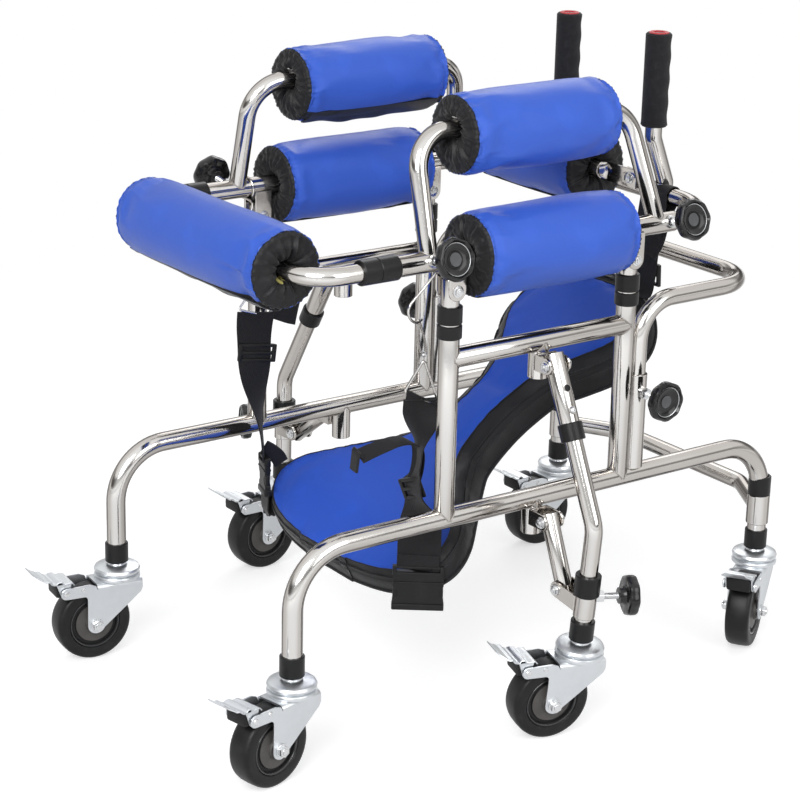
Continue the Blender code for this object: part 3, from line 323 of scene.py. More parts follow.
def moulded(colour, rough, spread, grain=0.00006, scale=1400.0, coat=0.0, lift=1.6):
    """Moulded plastic or rubber: a fine grain, dusty high places and uneven gloss."""

    def make(name):
        tone = colour()
        made = Finish(name, tone, rough, Coat_Weight=coat, Coat_Roughness=0.12)
        made.feed("Specular IOR Level", 0.3)
        where = made.place()
        cloud = made.noise(where, 45.0, 4.0, 0.6)
        grains = made.noise(where, scale, 2.0)
        made.feed("Base Color", made.mix(cloud.step(0.42, 0.75), tinted(tone, 1.0), tinted(tone, lift)))
        made.feed("Roughness", rough + (cloud - 0.5) * spread)
        made.feed("Normal", made.bump(grains, grain))
        return made

    return make


def woven(colour, rough, pitch, depth, sheen=0.12, lift=1.35, crease=0.0006, spec=0.28):
    """Woven cloth on a UV map in metres: over and under threads with painted shade and highlight on them,
    uneven tone and soft creases.
    """

    def make(name):
        tone = colour()
        made = Finish(name, tone, rough, Sheen_Weight=sheen, Sheen_Roughness=0.4)
        made.feed("Specular IOR Level", spec)
        across, along, _ = made.parts(made.place("UV"))
        turns = 2 * math.pi / pitch
        warp = (across * turns).math("SINE", across * turns)
        weft = (along * turns).math("SINE", along * turns)
        threads = warp * weft
        where = made.place()
        cloud = made.noise(where, 22.0, 4.0, 0.55)
        wrinkle = made.noise(made.stretch(where, (1.0, 1.0, 1.0)), 70.0, 3.0, 0.5)
        # Painted shade and highlight: thread crests are lighter, the hollows between threads darker
        painted_thread_shade = made.mix(threads.step(-0.8, 0.9), tinted(tone, 0.86), tinted(tone, 1.1))
        dusted = made.mix(cloud.step(0.5, 0.78) * 0.6, painted_thread_shade, tinted(tone, lift))
        made.feed("Base Color", dusted)
        made.feed("Roughness", rough + (cloud - 0.5) * 0.2)
        soft = made.bump(wrinkle, crease, 0.6)
        made.feed("Normal", made.bump(threads, depth, 0.7, soft))
        return made

    return make


def ribbed(name):
    """Webbing: fine ribs across the strap and a chevron along it, with painted highlights on their crests."""
    tone = colours().black
    made = Finish(name, tone, 0.62, Sheen_Weight=0.1, Sheen_Roughness=0.5)
    made.feed("Specular IOR Level", 0.25)
    across, along, _ = made.parts(made.place("UV"))
    rib = (along * (2 * math.pi / 0.0016)).math("SINE", along * (2 * math.pi / 0.0016))
    chevron = across * (2 * math.pi / 0.0032)
    twill = (chevron + along * 900.0).math("SINE", chevron + along * 900.0)
    cloud = made.noise(made.place(), 60.0, 3.0)
    # Painted highlight: rib and twill crests are lighter, their hollows darker
    high = (rib * 0.5 + twill * 0.5).step(-0.6, 0.9)
    made.feed("Base Color", made.mix(high, tinted(tone, 0.85), tinted(tone, 1.35)))
    made.feed("Roughness", 0.55 + cloud * 0.2)
    made.feed("Normal", made.bump(rib + twill * 0.6, 0.00012, 0.8))
    return made


def foam(name):
    """Closed-cell foam of the grips: fine pores and a dull, dusty skin."""
    tone = colours().black
    made = Finish(name, tone, 0.82, Sheen_Weight=0.1, Sheen_Roughness=0.6)
    made.feed("Specular IOR Level", 0.2)
    where = made.place()
    pores = made.node("TexVoronoi", {"feature": "F1"}, {"Vector": where, "Scale": 700.0})
    cloud = made.noise(where, 120.0, 4.0, 0.6)
    made.feed("Base Color", made.mix(cloud.step(0.4, 0.8), tinted(tone, 1.0), tinted(tone, 2.0)))
    made.feed("Roughness", 0.74 + cloud * 0.18)
    made.feed("Normal", made.bump(pores + cloud, 0.00025, 0.8))
    return made


def white():
    return (0.9, 0.9, 0.9)


MAKERS = {
    "plating": plated,
    "weld": metal(lambda: (0.42, 0.4, 0.38), 0.3, 0.25, 0.25, 220.0, 0.0002),
    "zinc": metal(lambda: colours().zinc, 0.26, 0.2, 0.1, 60.0, 0.00008),
    "bright_zinc": metal(lambda: (0.74, 0.75, 0.76), 0.16, 0.16, 0.08, 90.0),
    "collar": moulded(lambda: colours().plastic, 0.34, 0.16, lift=1.3),
    "knob": moulded(lambda: colours().plastic, 0.2, 0.16, 0.00002, 900.0, 0.35, 1.3),
    "knob_disc": moulded(lambda: (0.085, 0.088, 0.092), 0.45, 0.15),
    "knob_ring": metal(lambda: (0.55, 0.56, 0.57), 0.22, 0.15),
    "buckle": moulded(lambda: colours().plastic, 0.38, 0.15, lift=1.5),
    "tread": moulded(lambda: colours().rubber, 0.4, 0.25, 0.00008, 700.0, lift=2.2),
    "hub": moulded(lambda: (0.075, 0.07, 0.066), 0.38, 0.2, lift=1.3),
    "hub_ring": moulded(lambda: (0.03, 0.03, 0.032), 0.14, 0.06, coat=0.6, lift=1.1),
    "shoe": moulded(lambda: colours().rubber, 0.5, 0.2),
    "red_cap": moulded(lambda: colours().cap, 0.45, 0.2, lift=1.2),
    "pad_cloth": woven(lambda: colours().pad, 0.38, 0.0011, 0.00005, 0.03, 1.15, 0.0005, 0.28),
    "seat_cloth": woven(lambda: colours().seat, 0.52, 0.0013, 0.00006, 0.08, 1.15, 0.0005, 0.22),
    "black_cloth": woven(lambda: colours().black, 0.42, 0.001, 0.00005, 0.12, 1.8, 0.0005),
    "binding": woven(lambda: colours().black, 0.55, 0.0018, 0.0001, 0.15, 1.8, 0.0004),
    "thread": moulded(lambda: (0.03, 0.03, 0.033), 0.6, 0.1, lift=1.4),
    "pale_cloth": moulded(white, 0.6, 0.1, lift=1.0),
    "core_foam": moulded(lambda: (0.42, 0.38, 0.12), 0.8, 0.1, 0.0003, 500.0, lift=1.2),
    "webbing": ribbed,
    "foam": foam,
}


# Closed shells: each is (points, faces, UVs by point or None)


def smooth_step(t):
    t = min(1.0, max(0.0, t))
    return t * t * (3 - 2 * t)


def bent(corners, radii, step=math.radians(6)):
    """A line through corners, with each inner corner turned on an arc."""
    corners = [Vector(corner) for corner in corners]
    if isinstance(radii, float):
        radii = [radii] * (len(corners) - 2)
    points = [corners[0]]
    for before, corner, after, radius in zip(corners, corners[1:], corners[2:], radii):
        inward = (corner - before).normalized()
        onward = (after - corner).normalized()
        turn = inward.angle(onward)
        start = corner - inward * radius * math.tan(turn / 2)
        axis = inward.cross(onward).normalized()
        centre = start + axis.cross(inward) * radius
        count = max(2, round(turn / step))
        for i in range(count + 1):
            points.append(centre + Matrix.Rotation(turn * i / count, 3, axis) @ (start - centre))
    points.append(corners[-1])
    return points


def frames_along(points):
    """A direction and two cross directions at each point, without twist."""
    points = [Vector(point) for point in points]
    ways = []
    for i in range(len(points)):
        before = points[max(0, i - 1)]
        after = points[min(len(points) - 1, i + 1)]
        ways.append((after - before).normalized())
    side = ways[0].orthogonal().normalized()
    frames = []
    for way in ways:
        side = (side - way * side.dot(way)).normalized()
        frames.append((way, side, way.cross(side)))
    return points, frames


def closed_tube(points, radius, sides=24, round_end=0.0008):
    """A round bar along points, with its end edges rounded."""
    points, frames = frames_along(points)
    first, last = points[0], points[-1]
    lead = frames[0][0] * round_end
    trail = frames[-1][0] * round_end
    points = [first, first, first + lead, *points[1:-1], last - trail, last, last]
    frames = [frames[0]] * 3 + frames[1:-1] + [frames[-1]] * 3
    spans = [0.0, radius - round_end, *[radius] * (len(points) - 4), radius - round_end, 0.0]
    rows = [
        [
            point + (side * math.cos(a) + up * math.sin(a)) * span
            for a in (2 * math.pi * j / sides for j in range(sides))
        ]
        for point, (_, side, up), span in zip(points[1:-1], frames[1:-1], spans[1:-1])
    ]
    return ring_shell(rows, points[0], points[-1])


def ring_shell(rows, start=None, end=None):
    """Joins rings of equal count; start and end points close them as fans."""
    sides = len(rows[0])
    points = [point for row in rows for point in row]
    faces = []
    for i in range(len(rows) - 1):
        for j in range(sides):
            k = (j + 1) % sides
            a, b = i * sides, (i + 1) * sides
            faces.append((a + j, a + k, b + k, b + j))
    if start is not None:
        points.append(start)
        faces.extend((len(points) - 1, (j + 1) % sides, j) for j in range(sides))
    if end is not None:
        points.append(end)
        last = (len(rows) - 1) * sides
        faces.extend((len(points) - 1, last + j, last + (j + 1) % sides) for j in range(sides))
    return points, faces, None


def turned(profile, sides=32, waves=0, wave=0.0, phase=0.0):
    """A profile of (radius, height[, wave share]) from top to bottom, turned about Z.

    A profile that starts and ends on the axis closes there; any other is a closed ring."""
    solid = profile[0][0] == 0 and profile[-1][0] == 0
    rows = []
    for entry in (profile[1:-1] if solid else [*profile, profile[0]]):
        radius, height = entry[:2]
        share = entry[2] if len(entry) > 2 else 0.0
        row = []
        for j in range(sides):
            a = 2 * math.pi * j / sides + phase
            reach = radius * (1 + share * wave * math.cos(waves * a))
            row.append(Vector((reach * math.cos(a), reach * math.sin(a), height)))
        rows.append(row)
    if solid:
        top = Vector((0, 0, profile[0][1]))
        bottom = Vector((0, 0, profile[-1][1]))
        return ring_shell(rows, top, bottom)
    return ring_shell(rows)


def along(start, end):
    """A frame at start whose Z runs to end."""
    start, end = Vector(start), Vector(end)
    return Matrix.Translation(start) @ (end - start).to_track_quat("Z", "Y").to_matrix().to_4x4()


def rod(start, end, radius, sides=24, edge=0.0006):
    """A round bar with rounded edges between two points."""
    length = (Vector(end) - Vector(start)).length
    edge = min(edge, radius * 0.4, length * 0.3)
    profile = (
        (0.0, length),
        (radius - edge, length),
        (radius - edge * 0.3, length - edge * 0.3),
        (radius, length - edge),
        (radius, edge),
        (radius - edge * 0.3, edge * 0.3),
        (radius - edge, 0.0),
        (0.0, 0.0),
    )
    return moved(turned(profile, sides), along(start, end))


def band_ring(start, end, radius, bore, sides=32, edge=0.001, flare=0.0):
    """A hollow collar between two points."""
    length = (Vector(end) - Vector(start)).length
    profile = (
        (bore, length),
        (radius + flare - edge, length),
        (radius + flare, length - edge),
        (radius + flare, length - 2 * edge),
        (radius, length - 3.5 * edge),
        (radius, edge),
        (radius - edge, 0.0),
        (bore, 0.0),
    )
    return moved(turned(profile, sides), along(start, end))


def open_tube(start, end, radius, wall=0.0015, depth=0.02, sides=28):
    """A tube whose far end is open."""
    length = (Vector(end) - Vector(start)).length
    edge = 0.0004
    profile = (
        (0.0, length - depth),
        (radius - wall, length - depth),
        (radius - wall, length - edge),
        (radius - wall + edge, length),
        (radius - edge, length),
        (radius, length - edge),
        (radius, 0.0),
        (0.0, 0.0),
    )
    return moved(turned(profile, sides), along(start, end))


def moved(shell, matrix):
    points, faces, uvs = shell
    return [matrix @ Vector(point) for point in points], faces, uvs


def sheet_plate(outline, thickness, edge=0.0004):
    """A flat outline of (x, z), thickened along Y, with bevelled rims."""
    flat = [Vector((x, 0.0, z)) for x, z in outline]
    rows = []
    for y, inset in (
        (-thickness / 2, edge),
        (edge - thickness / 2, 0.0),
        (thickness / 2 - edge, 0.0),
        (thickness / 2, edge),
    ):
        row = []
        for i, point in enumerate(flat):
            before = (point - flat[i - 1]).normalized()
            after = (flat[(i + 1) % len(flat)] - point).normalized()
            inward = Vector((-(before + after).z, 0.0, (before + after).x))
            if inward.length > 1e-6:
                inward.normalize()
            row.append(point + inward * inset + Vector((0, y, 0)))
        rows.append(row)
    points = [point for row in rows for point in row]
    count = len(flat)
    faces = []
    for i in range(3):
        for j in range(count):
            k = (j + 1) % count
            faces.append((i * count + j, (i + 1) * count + j, (i + 1) * count + k, i * count + k))
    faces.append(tuple(range(count)))
    faces.append(tuple(reversed(range(3 * count, 4 * count))))
    return points, faces, None


def arc(centre, radius, start, end, count=10):
    """Points of an arc in a flat outline, angles in degrees."""
    return [
        (
            centre[0] + radius * math.cos(math.radians(start + (end - start) * i / count)),
            centre[1] + radius * math.sin(math.radians(start + (end - start) * i / count)),
        )
        for i in range(count + 1)
    ]


def box(low, high, edge=0.0008):
    """A block with bevelled edges."""
    low, high = Vector(low), Vector(high)
    data = bmesh.new()
    bmesh.ops.create_cube(data, size=1.0)
    data.transform(Matrix.Translation((low + high) / 2) @ Matrix.Diagonal((*(high - low), 1.0)))
    edge = min(edge, min(high - low) * 0.3)
    bmesh.ops.bevel(data, geom=data.edges[:], offset=edge, segments=2, affect="EDGES", profile=0.5)
    data.verts.index_update()
    points = [vertex.co.copy() for vertex in data.verts]
    faces = [tuple(vertex.index for vertex in face.verts) for face in data.faces]
    data.free()
    return points, faces, None


def hex_nut(start, end, radius, crown=0.0):
    """A hexagon nut or head with chamfered corners; crown domes its far end."""
    length = (Vector(end) - Vector(start)).length
    data = bmesh.new()
    bmesh.ops.create_cone(data, cap_ends=True, segments=6, radius1=radius, radius2=radius, depth=length)
    data.transform(Matrix.Translation((0, 0, length / 2)))
    bmesh.ops.bevel(data, geom=data.edges[:], offset=radius * 0.07, segments=2, affect="EDGES", profile=0.5)
    data.verts.index_update()
    points = [vertex.co.copy() for vertex in data.verts]
    faces = [tuple(vertex.index for vertex in face.verts) for face in data.faces]
    data.free()
    shell = moved((points, faces, None), along(start, end))
    if crown:
        way = (Vector(end) - Vector(start)).normalized()
        tip = Vector(end) + way * crown
        return merged(shell, rod(Vector(end) - way * 0.0005, tip, radius * 0.55, 16))
    return shell


def merged(*shells):
    points, faces = [], []
    for shell in shells:
        start = len(points)
        points.extend(shell[0])
        faces.extend(tuple(start + i for i in face) for face in shell[1])
    return points, faces, None


def washer(start, end, radius):
    return rod(start, end, radius, 28, 0.0003)


def bolt_ends(centre, axis, half, radius=0.0058, height=0.0042):
    """A bolt's head and nut with their washers, at half either way from centre."""
    centre, axis = Vector(centre), Vector(axis).normalized()
    shells = []
    for sign in (-1, 1):
        face = centre + axis * sign * (half + 0.0002)
        rest = face + axis * sign * 0.0009
        shells.append(washer(face, rest, radius * 1.25))
        shells.append(hex_nut(rest, rest + axis * sign * height * 0.75, radius, 0.0012))
    return merged(*shells)


def weld_bead(centre, branch, main, branch_r, main_r, thick=0.0007, count=72):
    """The bead where a branch tube meets a main tube, lying on both."""
    centre, branch, main = Vector(centre), Vector(branch).normalized(), Vector(main).normalized()
    side = branch.cross(main).normalized()
    line = []
    reach = branch_r + 0.0002
    for i in range(count):
        a = 2 * math.pi * i / count
        across = reach * math.sin(a)
        lift = math.sqrt(max(main_r**2 - across**2, 0.0))
        line.append(centre + main * reach * math.cos(a) + side * across + branch * lift)
    return looped_tube(line, thick, 8, 0.18)


def looped_tube(line, radius, sides=8, ripple=0.0):
    """A closed loop of round bar along a line of points."""
    count = len(line)
    rows = []
    side = None
    for i, point in enumerate(line):
        way = (line[(i + 1) % count] - line[i - 1]).normalized()
        if side is None:
            side = way.orthogonal().normalized()
        side = (side - way * side.dot(way)).normalized()
        up = way.cross(side)
        span = radius * (1 + ripple * (i % 2))
        rows.append([
            point + (side * math.cos(a) + up * math.sin(a)) * span
            for a in (2 * math.pi * j / sides for j in range(sides))
        ])
    points = [point for row in rows for point in row]
    faces = []
    last = rows[-1]
    shift = min(range(sides), key=lambda s: (last[0] - rows[0][s]).length)
    for i in range(count):
        for j in range(sides):
            k = (j + 1) % sides
            a, b = i * sides, ((i + 1) % count) * sides
            turn = shift if i == count - 1 else 0
            faces.append((a + j, a + k, b + (k + turn) % sides, b + (j + turn) % sides))
    return points, faces, None


class Piece:
    """Closed shells and their finishes, gathered into one object."""

    def __init__(self, name):
        self.name = name
        self.points = []
        self.faces = []
        self.uvs = []
        self.finishes = []
        self.marks = []

    def add(self, shell, look, matrix=None):
        """Adds a shell; look is a finish's name, or a list of one name for each face."""
        if matrix is not None:
            shell = moved(shell, matrix)
        points, faces, uvs = shell
        start = len(self.points)
        self.points.extend(points)
        self.uvs.extend(uvs or [(0.0, 0.0)] * len(points))
        looks = [look] * len(faces) if isinstance(look, str) else look
        for face, name in zip(faces, looks):
            if name not in self.finishes:
                self.finishes.append(name)
            self.faces.append(tuple(start + i for i in face))
            self.marks.append(self.finishes.index(name))
        return self

    def make(self, body, slot, replaces=(), matrix=None, sharp=35.0, outward=True):
        mesh = bpy.data.meshes.new(self.name)
        mesh.from_pydata([tuple(point) for point in self.points], [], self.faces)
        for name in self.finishes:
            mesh.materials.append(finish(name))
        mesh.polygons.foreach_set("material_index", self.marks)
        layer = mesh.uv_layers.new(name="UVMap")
        corners = np.zeros(len(mesh.loops), np.int32)
        mesh.loops.foreach_get("vertex_index", corners)
        layer.data.foreach_set("uv", np.array(self.uvs, np.float32)[corners].ravel())
        if outward:
            data = bmesh.new()
            data.from_mesh(mesh)
            bmesh.ops.recalc_face_normals(data, faces=data.faces)
            data.to_mesh(mesh)
            data.free()
        mesh.shade_smooth()
        mesh.set_sharp_from_angle(angle=math.radians(sharp))
        thing = bpy.data.objects.new(self.name, mesh)
        bpy.context.scene.collection.objects.link(thing)
        thing.matrix_world = SHIFT if matrix is None else matrix
        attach(thing, body)
        if replaces:
            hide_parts(*replaces)
        return thing


def joint_frame(name, way="Z"):
    """A hinge's place, turned so that the named local axis lies along it."""
    joint = JOINTS[name]
    turn = Vector(joint["axis"]).to_track_quat(way, "Y" if way != "Y" else "Z").to_matrix().to_4x4()
    return Matrix.Translation(joint["pos_m"]) @ turn


def strip(line, across, widths, thickness, columns=2, lift=0.0):
    """A band of sheet through points, closed on all sides, with its UVs in metres.

    across is the way its width runs, one vector or one for each point; lift domes its middle."""
    line = [Vector(point) for point in line]
    count = len(line)
    if isinstance(across, (Vector, tuple)):
        across = [Vector(across)] * count
    if isinstance(widths, float):
        widths = [widths] * count
    shares = [2 * j / columns - 1 for j in range(columns + 1)]
    rows, uv_rows = [], []
    run = 0.0
    for i, point in enumerate(line):
        before, after = line[max(0, i - 1)], line[min(count - 1, i + 1)]
        way = (after - before).normalized()
        side = (across[i] - way * across[i].dot(way)).normalized()
        up = way.cross(side)
        if i:
            run += (point - line[i - 1]).length
        half = widths[i] / 2
        upper = [point + side * s * half + up * (thickness / 2 + lift * (1 - s * s)) for s in shares]
        lower = [
            point + side * s * half + up * (lift * (1 - s * s) - thickness / 2)
            for s in reversed(shares)
        ]
        rim = thickness * 0.35
        left = point - side * (half + rim)
        right = point + side * (half + rim)
        rows.append([left, *upper, right, *lower])
        flat = [s * half for s in shares]
        uv_rows.append([(-half - rim, run), *((f, run) for f in flat), (half + rim, run),
                        *((f, run) for f in reversed(flat))])
    first = sum(rows[0], Vector()) / len(rows[0])
    last = sum(rows[-1], Vector()) / len(rows[-1])
    points, faces, _ = ring_shell(rows, first, last)
    uvs = [uv for row in uv_rows for uv in row] + [(0.0, 0.0), (0.0, run)]
    return points, faces, uvs


def smooth_line(points, count):
    """count points on a smooth curve through points."""
    points = [Vector(point) for point in points]
    ends = [points[0] * 2 - points[1], *points, points[-1] * 2 - points[-2]]
    lengths = [0.0]
    for one, other in zip(points, points[1:]):
        lengths.append(lengths[-1] + (other - one).length)
    line = []
    for i in range(count):
        s = lengths[-1] * i / (count - 1)
        k = max(j for j in range(len(points) - 1) if lengths[j] <= s + 1e-12)
        t = (s - lengths[k]) / (lengths[k + 1] - lengths[k])
        a, b, c, d = ends[k : k + 4]
        line.append(0.5 * (2 * b + (c - a) * t + (2 * a - 5 * b + 4 * c - d) * t * t
                           + (3 * b - a - 3 * c + d) * t * t * t))
    return line


def turn_plate(shell, turn, place):
    """A sheet_plate, turned about Z by an angle in degrees and moved to its place."""
    return moved(shell, Matrix.Translation(place) @ Matrix.Rotation(math.radians(turn), 4, "Z"))


def knob_nut(centre, outward, tube_r):
    """The nut welded on a tube for a clamp knob."""
    centre, outward = Vector(centre), Vector(outward).normalized()
    return hex_nut(centre + outward * (tube_r - 0.002), centre + outward * (tube_r + 0.008), 0.008)


class Maker(bpy.types.Operator):
    """Base of the operators that make pieces."""

    bl_options = {"REGISTER", "UNDO"}

    def execute(self, context):
        made = self.pieces()
        if not made:
            raise RuntimeError(f"{self.bl_label} made nothing")
        return {"FINISHED"}


# Base


def ear_bracket(bolt_at, half_gap):
    """A folded channel of two ears on the outer face of a stub, in the outrigger's plane."""
    x, z = bolt_at
    web = HALF_TRACK + TUBE_R - 0.0015
    reach = 0.01
    low, high = z - reach, z + reach
    wide = half_gap + PLATE
    shells = [box((web, -wide, low), (web + PLATE, wide, high), 0.0009)]
    outline = [(web + 0.0006, low), *arc((x, z), reach, -90, 90, 14), (web + 0.0006, high)]
    for sign in (-1, 1):
        ear = sheet_plate(outline, PLATE, 0.0005)
        shells.append(moved(ear, Matrix.Translation((0, sign * (half_gap + PLATE / 2), 0))))
    return merged(*shells)


def outrigger_plane(side):
    turn = Matrix.Rotation(0 if side == "right" else math.pi, 4, "Z")
    return Matrix.Translation((0, STUB_Y, 0)) @ turn


def notched(shell, x, y, radius):
    """A shell cut back toward -Y, clear of an upright tube at x, y."""
    points = []
    for point in shell[0]:
        across = point.x - x
        if abs(across) < radius:
            edge = y - math.sqrt(radius**2 - across**2)
            point = Vector((point.x, min(point.y, edge), point.z))
        points.append(point)
    return (points, *shell[1:])


class STAND_OT_side_frames(Maker):
    """The two welded sides of the base, with their collars and bolts."""

    bl_idname = "stand.side_frames"
    bl_label = "Side frames"

    def pieces(self):
        return [made for side in SIDES for made in self.side(side)]

    def side(self, side):
        sign = SIDES[side]
        x = sign * HALF_TRACK
        node = f"side_frame_{side}"
        tubes = Piece(f"welded_side_{side}")
        rail = ((x, -LEG_Y, FOOT_Z), (x, -LEG_Y, LOWER_RAIL_Z), (x, LEG_Y, LOWER_RAIL_Z), (x, LEG_Y, FOOT_Z))
        tubes.add(closed_tube(bent(rail, 0.07), TUBE_R), "plating")
        front, rear = POST_YS
        tubes.add(rod((x, front, UPPER_RAIL_Z), (x, rear, UPPER_RAIL_Z), TUBE_R), "plating")
        for y, inward in ((front, 1), (rear, -1)):
            tubes.add(rod((x, y, LOWER_RAIL_Z), (x, y, POST_TOP_Z - 0.001), TUBE_R), "plating")
            tubes.add(weld_bead((x, y, LOWER_RAIL_Z), (0, 0, 1), (0, 1, 0), TUBE_R, TUBE_R), "weld")
            tubes.add(weld_bead((x, y, UPPER_RAIL_Z), (0, inward, 0), (0, 0, 1), TUBE_R, TUBE_R), "weld")
        for rail_z in (UPPER_RAIL_Z, LOWER_RAIL_Z):
            tubes.add(open_tube((x, STUB_Y, rail_z), (x, STUB_Y, rail_z - 0.045), TUBE_R), "plating")
            tubes.add(weld_bead((x, STUB_Y, rail_z), (0, 0, -1), (0, 1, 0), TUBE_R, TUBE_R), "weld")
        y, low, high = PUSH_SLEEVE
        tubes.add(band_ring((x, y, low), (x, y, high), 0.0135, 0.0108, 32, 0.0006), "plating")
        for share in (-1, 1):
            heights = (low + 0.001, low + 0.06, high - 0.001)
            seam = smooth_line([(x + share * 0.0058, 0.1283, z) for z in heights], 30)
            tubes.add(closed_tube(seam, 0.0019, 8), "weld")
        outward = (sign, 0, 0)
        tubes.add(knob_nut((x, y, PUSH_KNOB_Z), outward, 0.0135), "bright_zinc")
        plane = outrigger_plane(side)
        for bolt_at, tube_r in ((SWING_BOLT, TUBE_R), (BRACE_BOLT, INNER_R)):
            tubes.add(ear_bracket(bolt_at, tube_r + 0.0003), "plating", plane)
        bolts = Piece(f"outrigger_bolts_{side}")
        for (bolt_x, bolt_z), tube_r in ((SWING_BOLT, TUBE_R), (BRACE_BOLT, INNER_R)):
            ends = bolt_ends((bolt_x, 0, bolt_z), (0, 1, 0), tube_r + 0.0003 + PLATE)
            bolts.add(ends, "bright_zinc", plane)
        collars = Piece(f"side_collars_{side}")
        for start, end, at in (
            (FOOT_Z, FOOT_Z + 0.0257, -LEG_Y),
            (FOOT_Z, FOOT_Z + 0.0257, LEG_Y),
            (0.2003, 0.2263, LEG_Y),
            (POST_TOP_Z - 0.0215, POST_TOP_Z, front),
            (POST_TOP_Z - 0.0215, POST_TOP_Z, rear),
            (POST_TOP_Z - 0.0395, POST_TOP_Z - 0.023, front),
            (POST_TOP_Z - 0.0395, POST_TOP_Z - 0.023, rear),
        ):
            bore = 0.0113 if end == POST_TOP_Z else 0.012
            collar = band_ring((x, at, start), (x, at, end), COLLAR_R, bore)
            if at == rear:
                collar = notched(collar, x, y, INNER_R + 0.0003)
            collars.add(collar, "collar")
        return [
            tubes.make("base", "chrome", [node]),
            bolts.make("base", "zinc", [node]),
            collars.make("base", "knob_plastic", [node]),
        ]


class STAND_OT_cross_bar(Maker):
    """The bar behind the rear legs, welded to a sleeve on each."""

    bl_idname = "stand.cross_bar"
    bl_label = "Rear cross bar"

    def pieces(self):
        z = CROSS_BAR_Z
        corners = [(-HALF_TRACK, LEG_Y, z), (-0.1225, 0.42, z), (0.1225, 0.42, z), (HALF_TRACK, LEG_Y, z)]
        bar = Piece("cross_bar_tube").add(closed_tube(bent(corners, 0.04), INNER_R), "plating")
        for x in (-HALF_TRACK, HALF_TRACK):
            low, high = (x, LEG_Y, z - 0.02), (x, LEG_Y, z + 0.02)
            bar.add(band_ring(low, high, 0.015, 0.0124, 32, 0.0006), "plating")
            way = Vector((-x, 0, 0)).normalized() * 0.0845 + Vector((0, 0.0494, 0))
            bar.add(weld_bead((x, LEG_Y, z), way, (0, 0, 1), INNER_R, 0.015), "weld")
        return [bar.make("base", "chrome", ["rear_cross_bar"])]


# Outriggers


def outrigger_layout(side):
    """The places of a swinging outrigger's pieces, worked out from its two bolts and its foot."""
    tilt = OUTRIGGER_TILT[side]
    plane = SHIFT @ outrigger_plane(side)
    x, z = SWING_BOLT
    swing = plane @ Matrix.Translation((x, 0, z)) @ Matrix.Rotation(-tilt, 4, "Y")
    foot = swing.inverted() @ Vector(JOINTS[f"swivel_middle_{side}"]["pos_m"])
    reach = -foot.z - LEG_LOWER * math.cos(OUTRIGGER_BEND)
    lower = tilt - OUTRIGGER_BEND
    bend = Vector((x + reach * math.sin(tilt), z - reach * math.cos(tilt)))
    down = Vector((math.sin(lower), -math.cos(lower)))
    inward = Vector((-math.cos(lower), -math.sin(lower)))
    gap = bend + inward * BRACE_OFFSET - Vector(BRACE_BOLT)
    advance = gap.dot(down)
    slid = -advance + math.sqrt(advance**2 - gap.length_squared + BRACE_LENGTH**2)
    corner = Matrix.Translation((0, 0, -reach)) @ Matrix.Rotation(OUTRIGGER_BEND, 4, "Y")
    seat = swing @ corner @ Matrix.Translation((0, 0, -slid))
    pin = bend + down * slid + inward * BRACE_OFFSET - Vector(BRACE_BOLT)
    swung = math.atan2(pin.x, -pin.y)
    x, z = BRACE_BOLT
    brace = plane @ Matrix.Translation((x, 0, z)) @ Matrix.Rotation(-swung, 4, "Y")
    return {"swing": swing, "reach": reach, "seat": seat, "brace": brace}


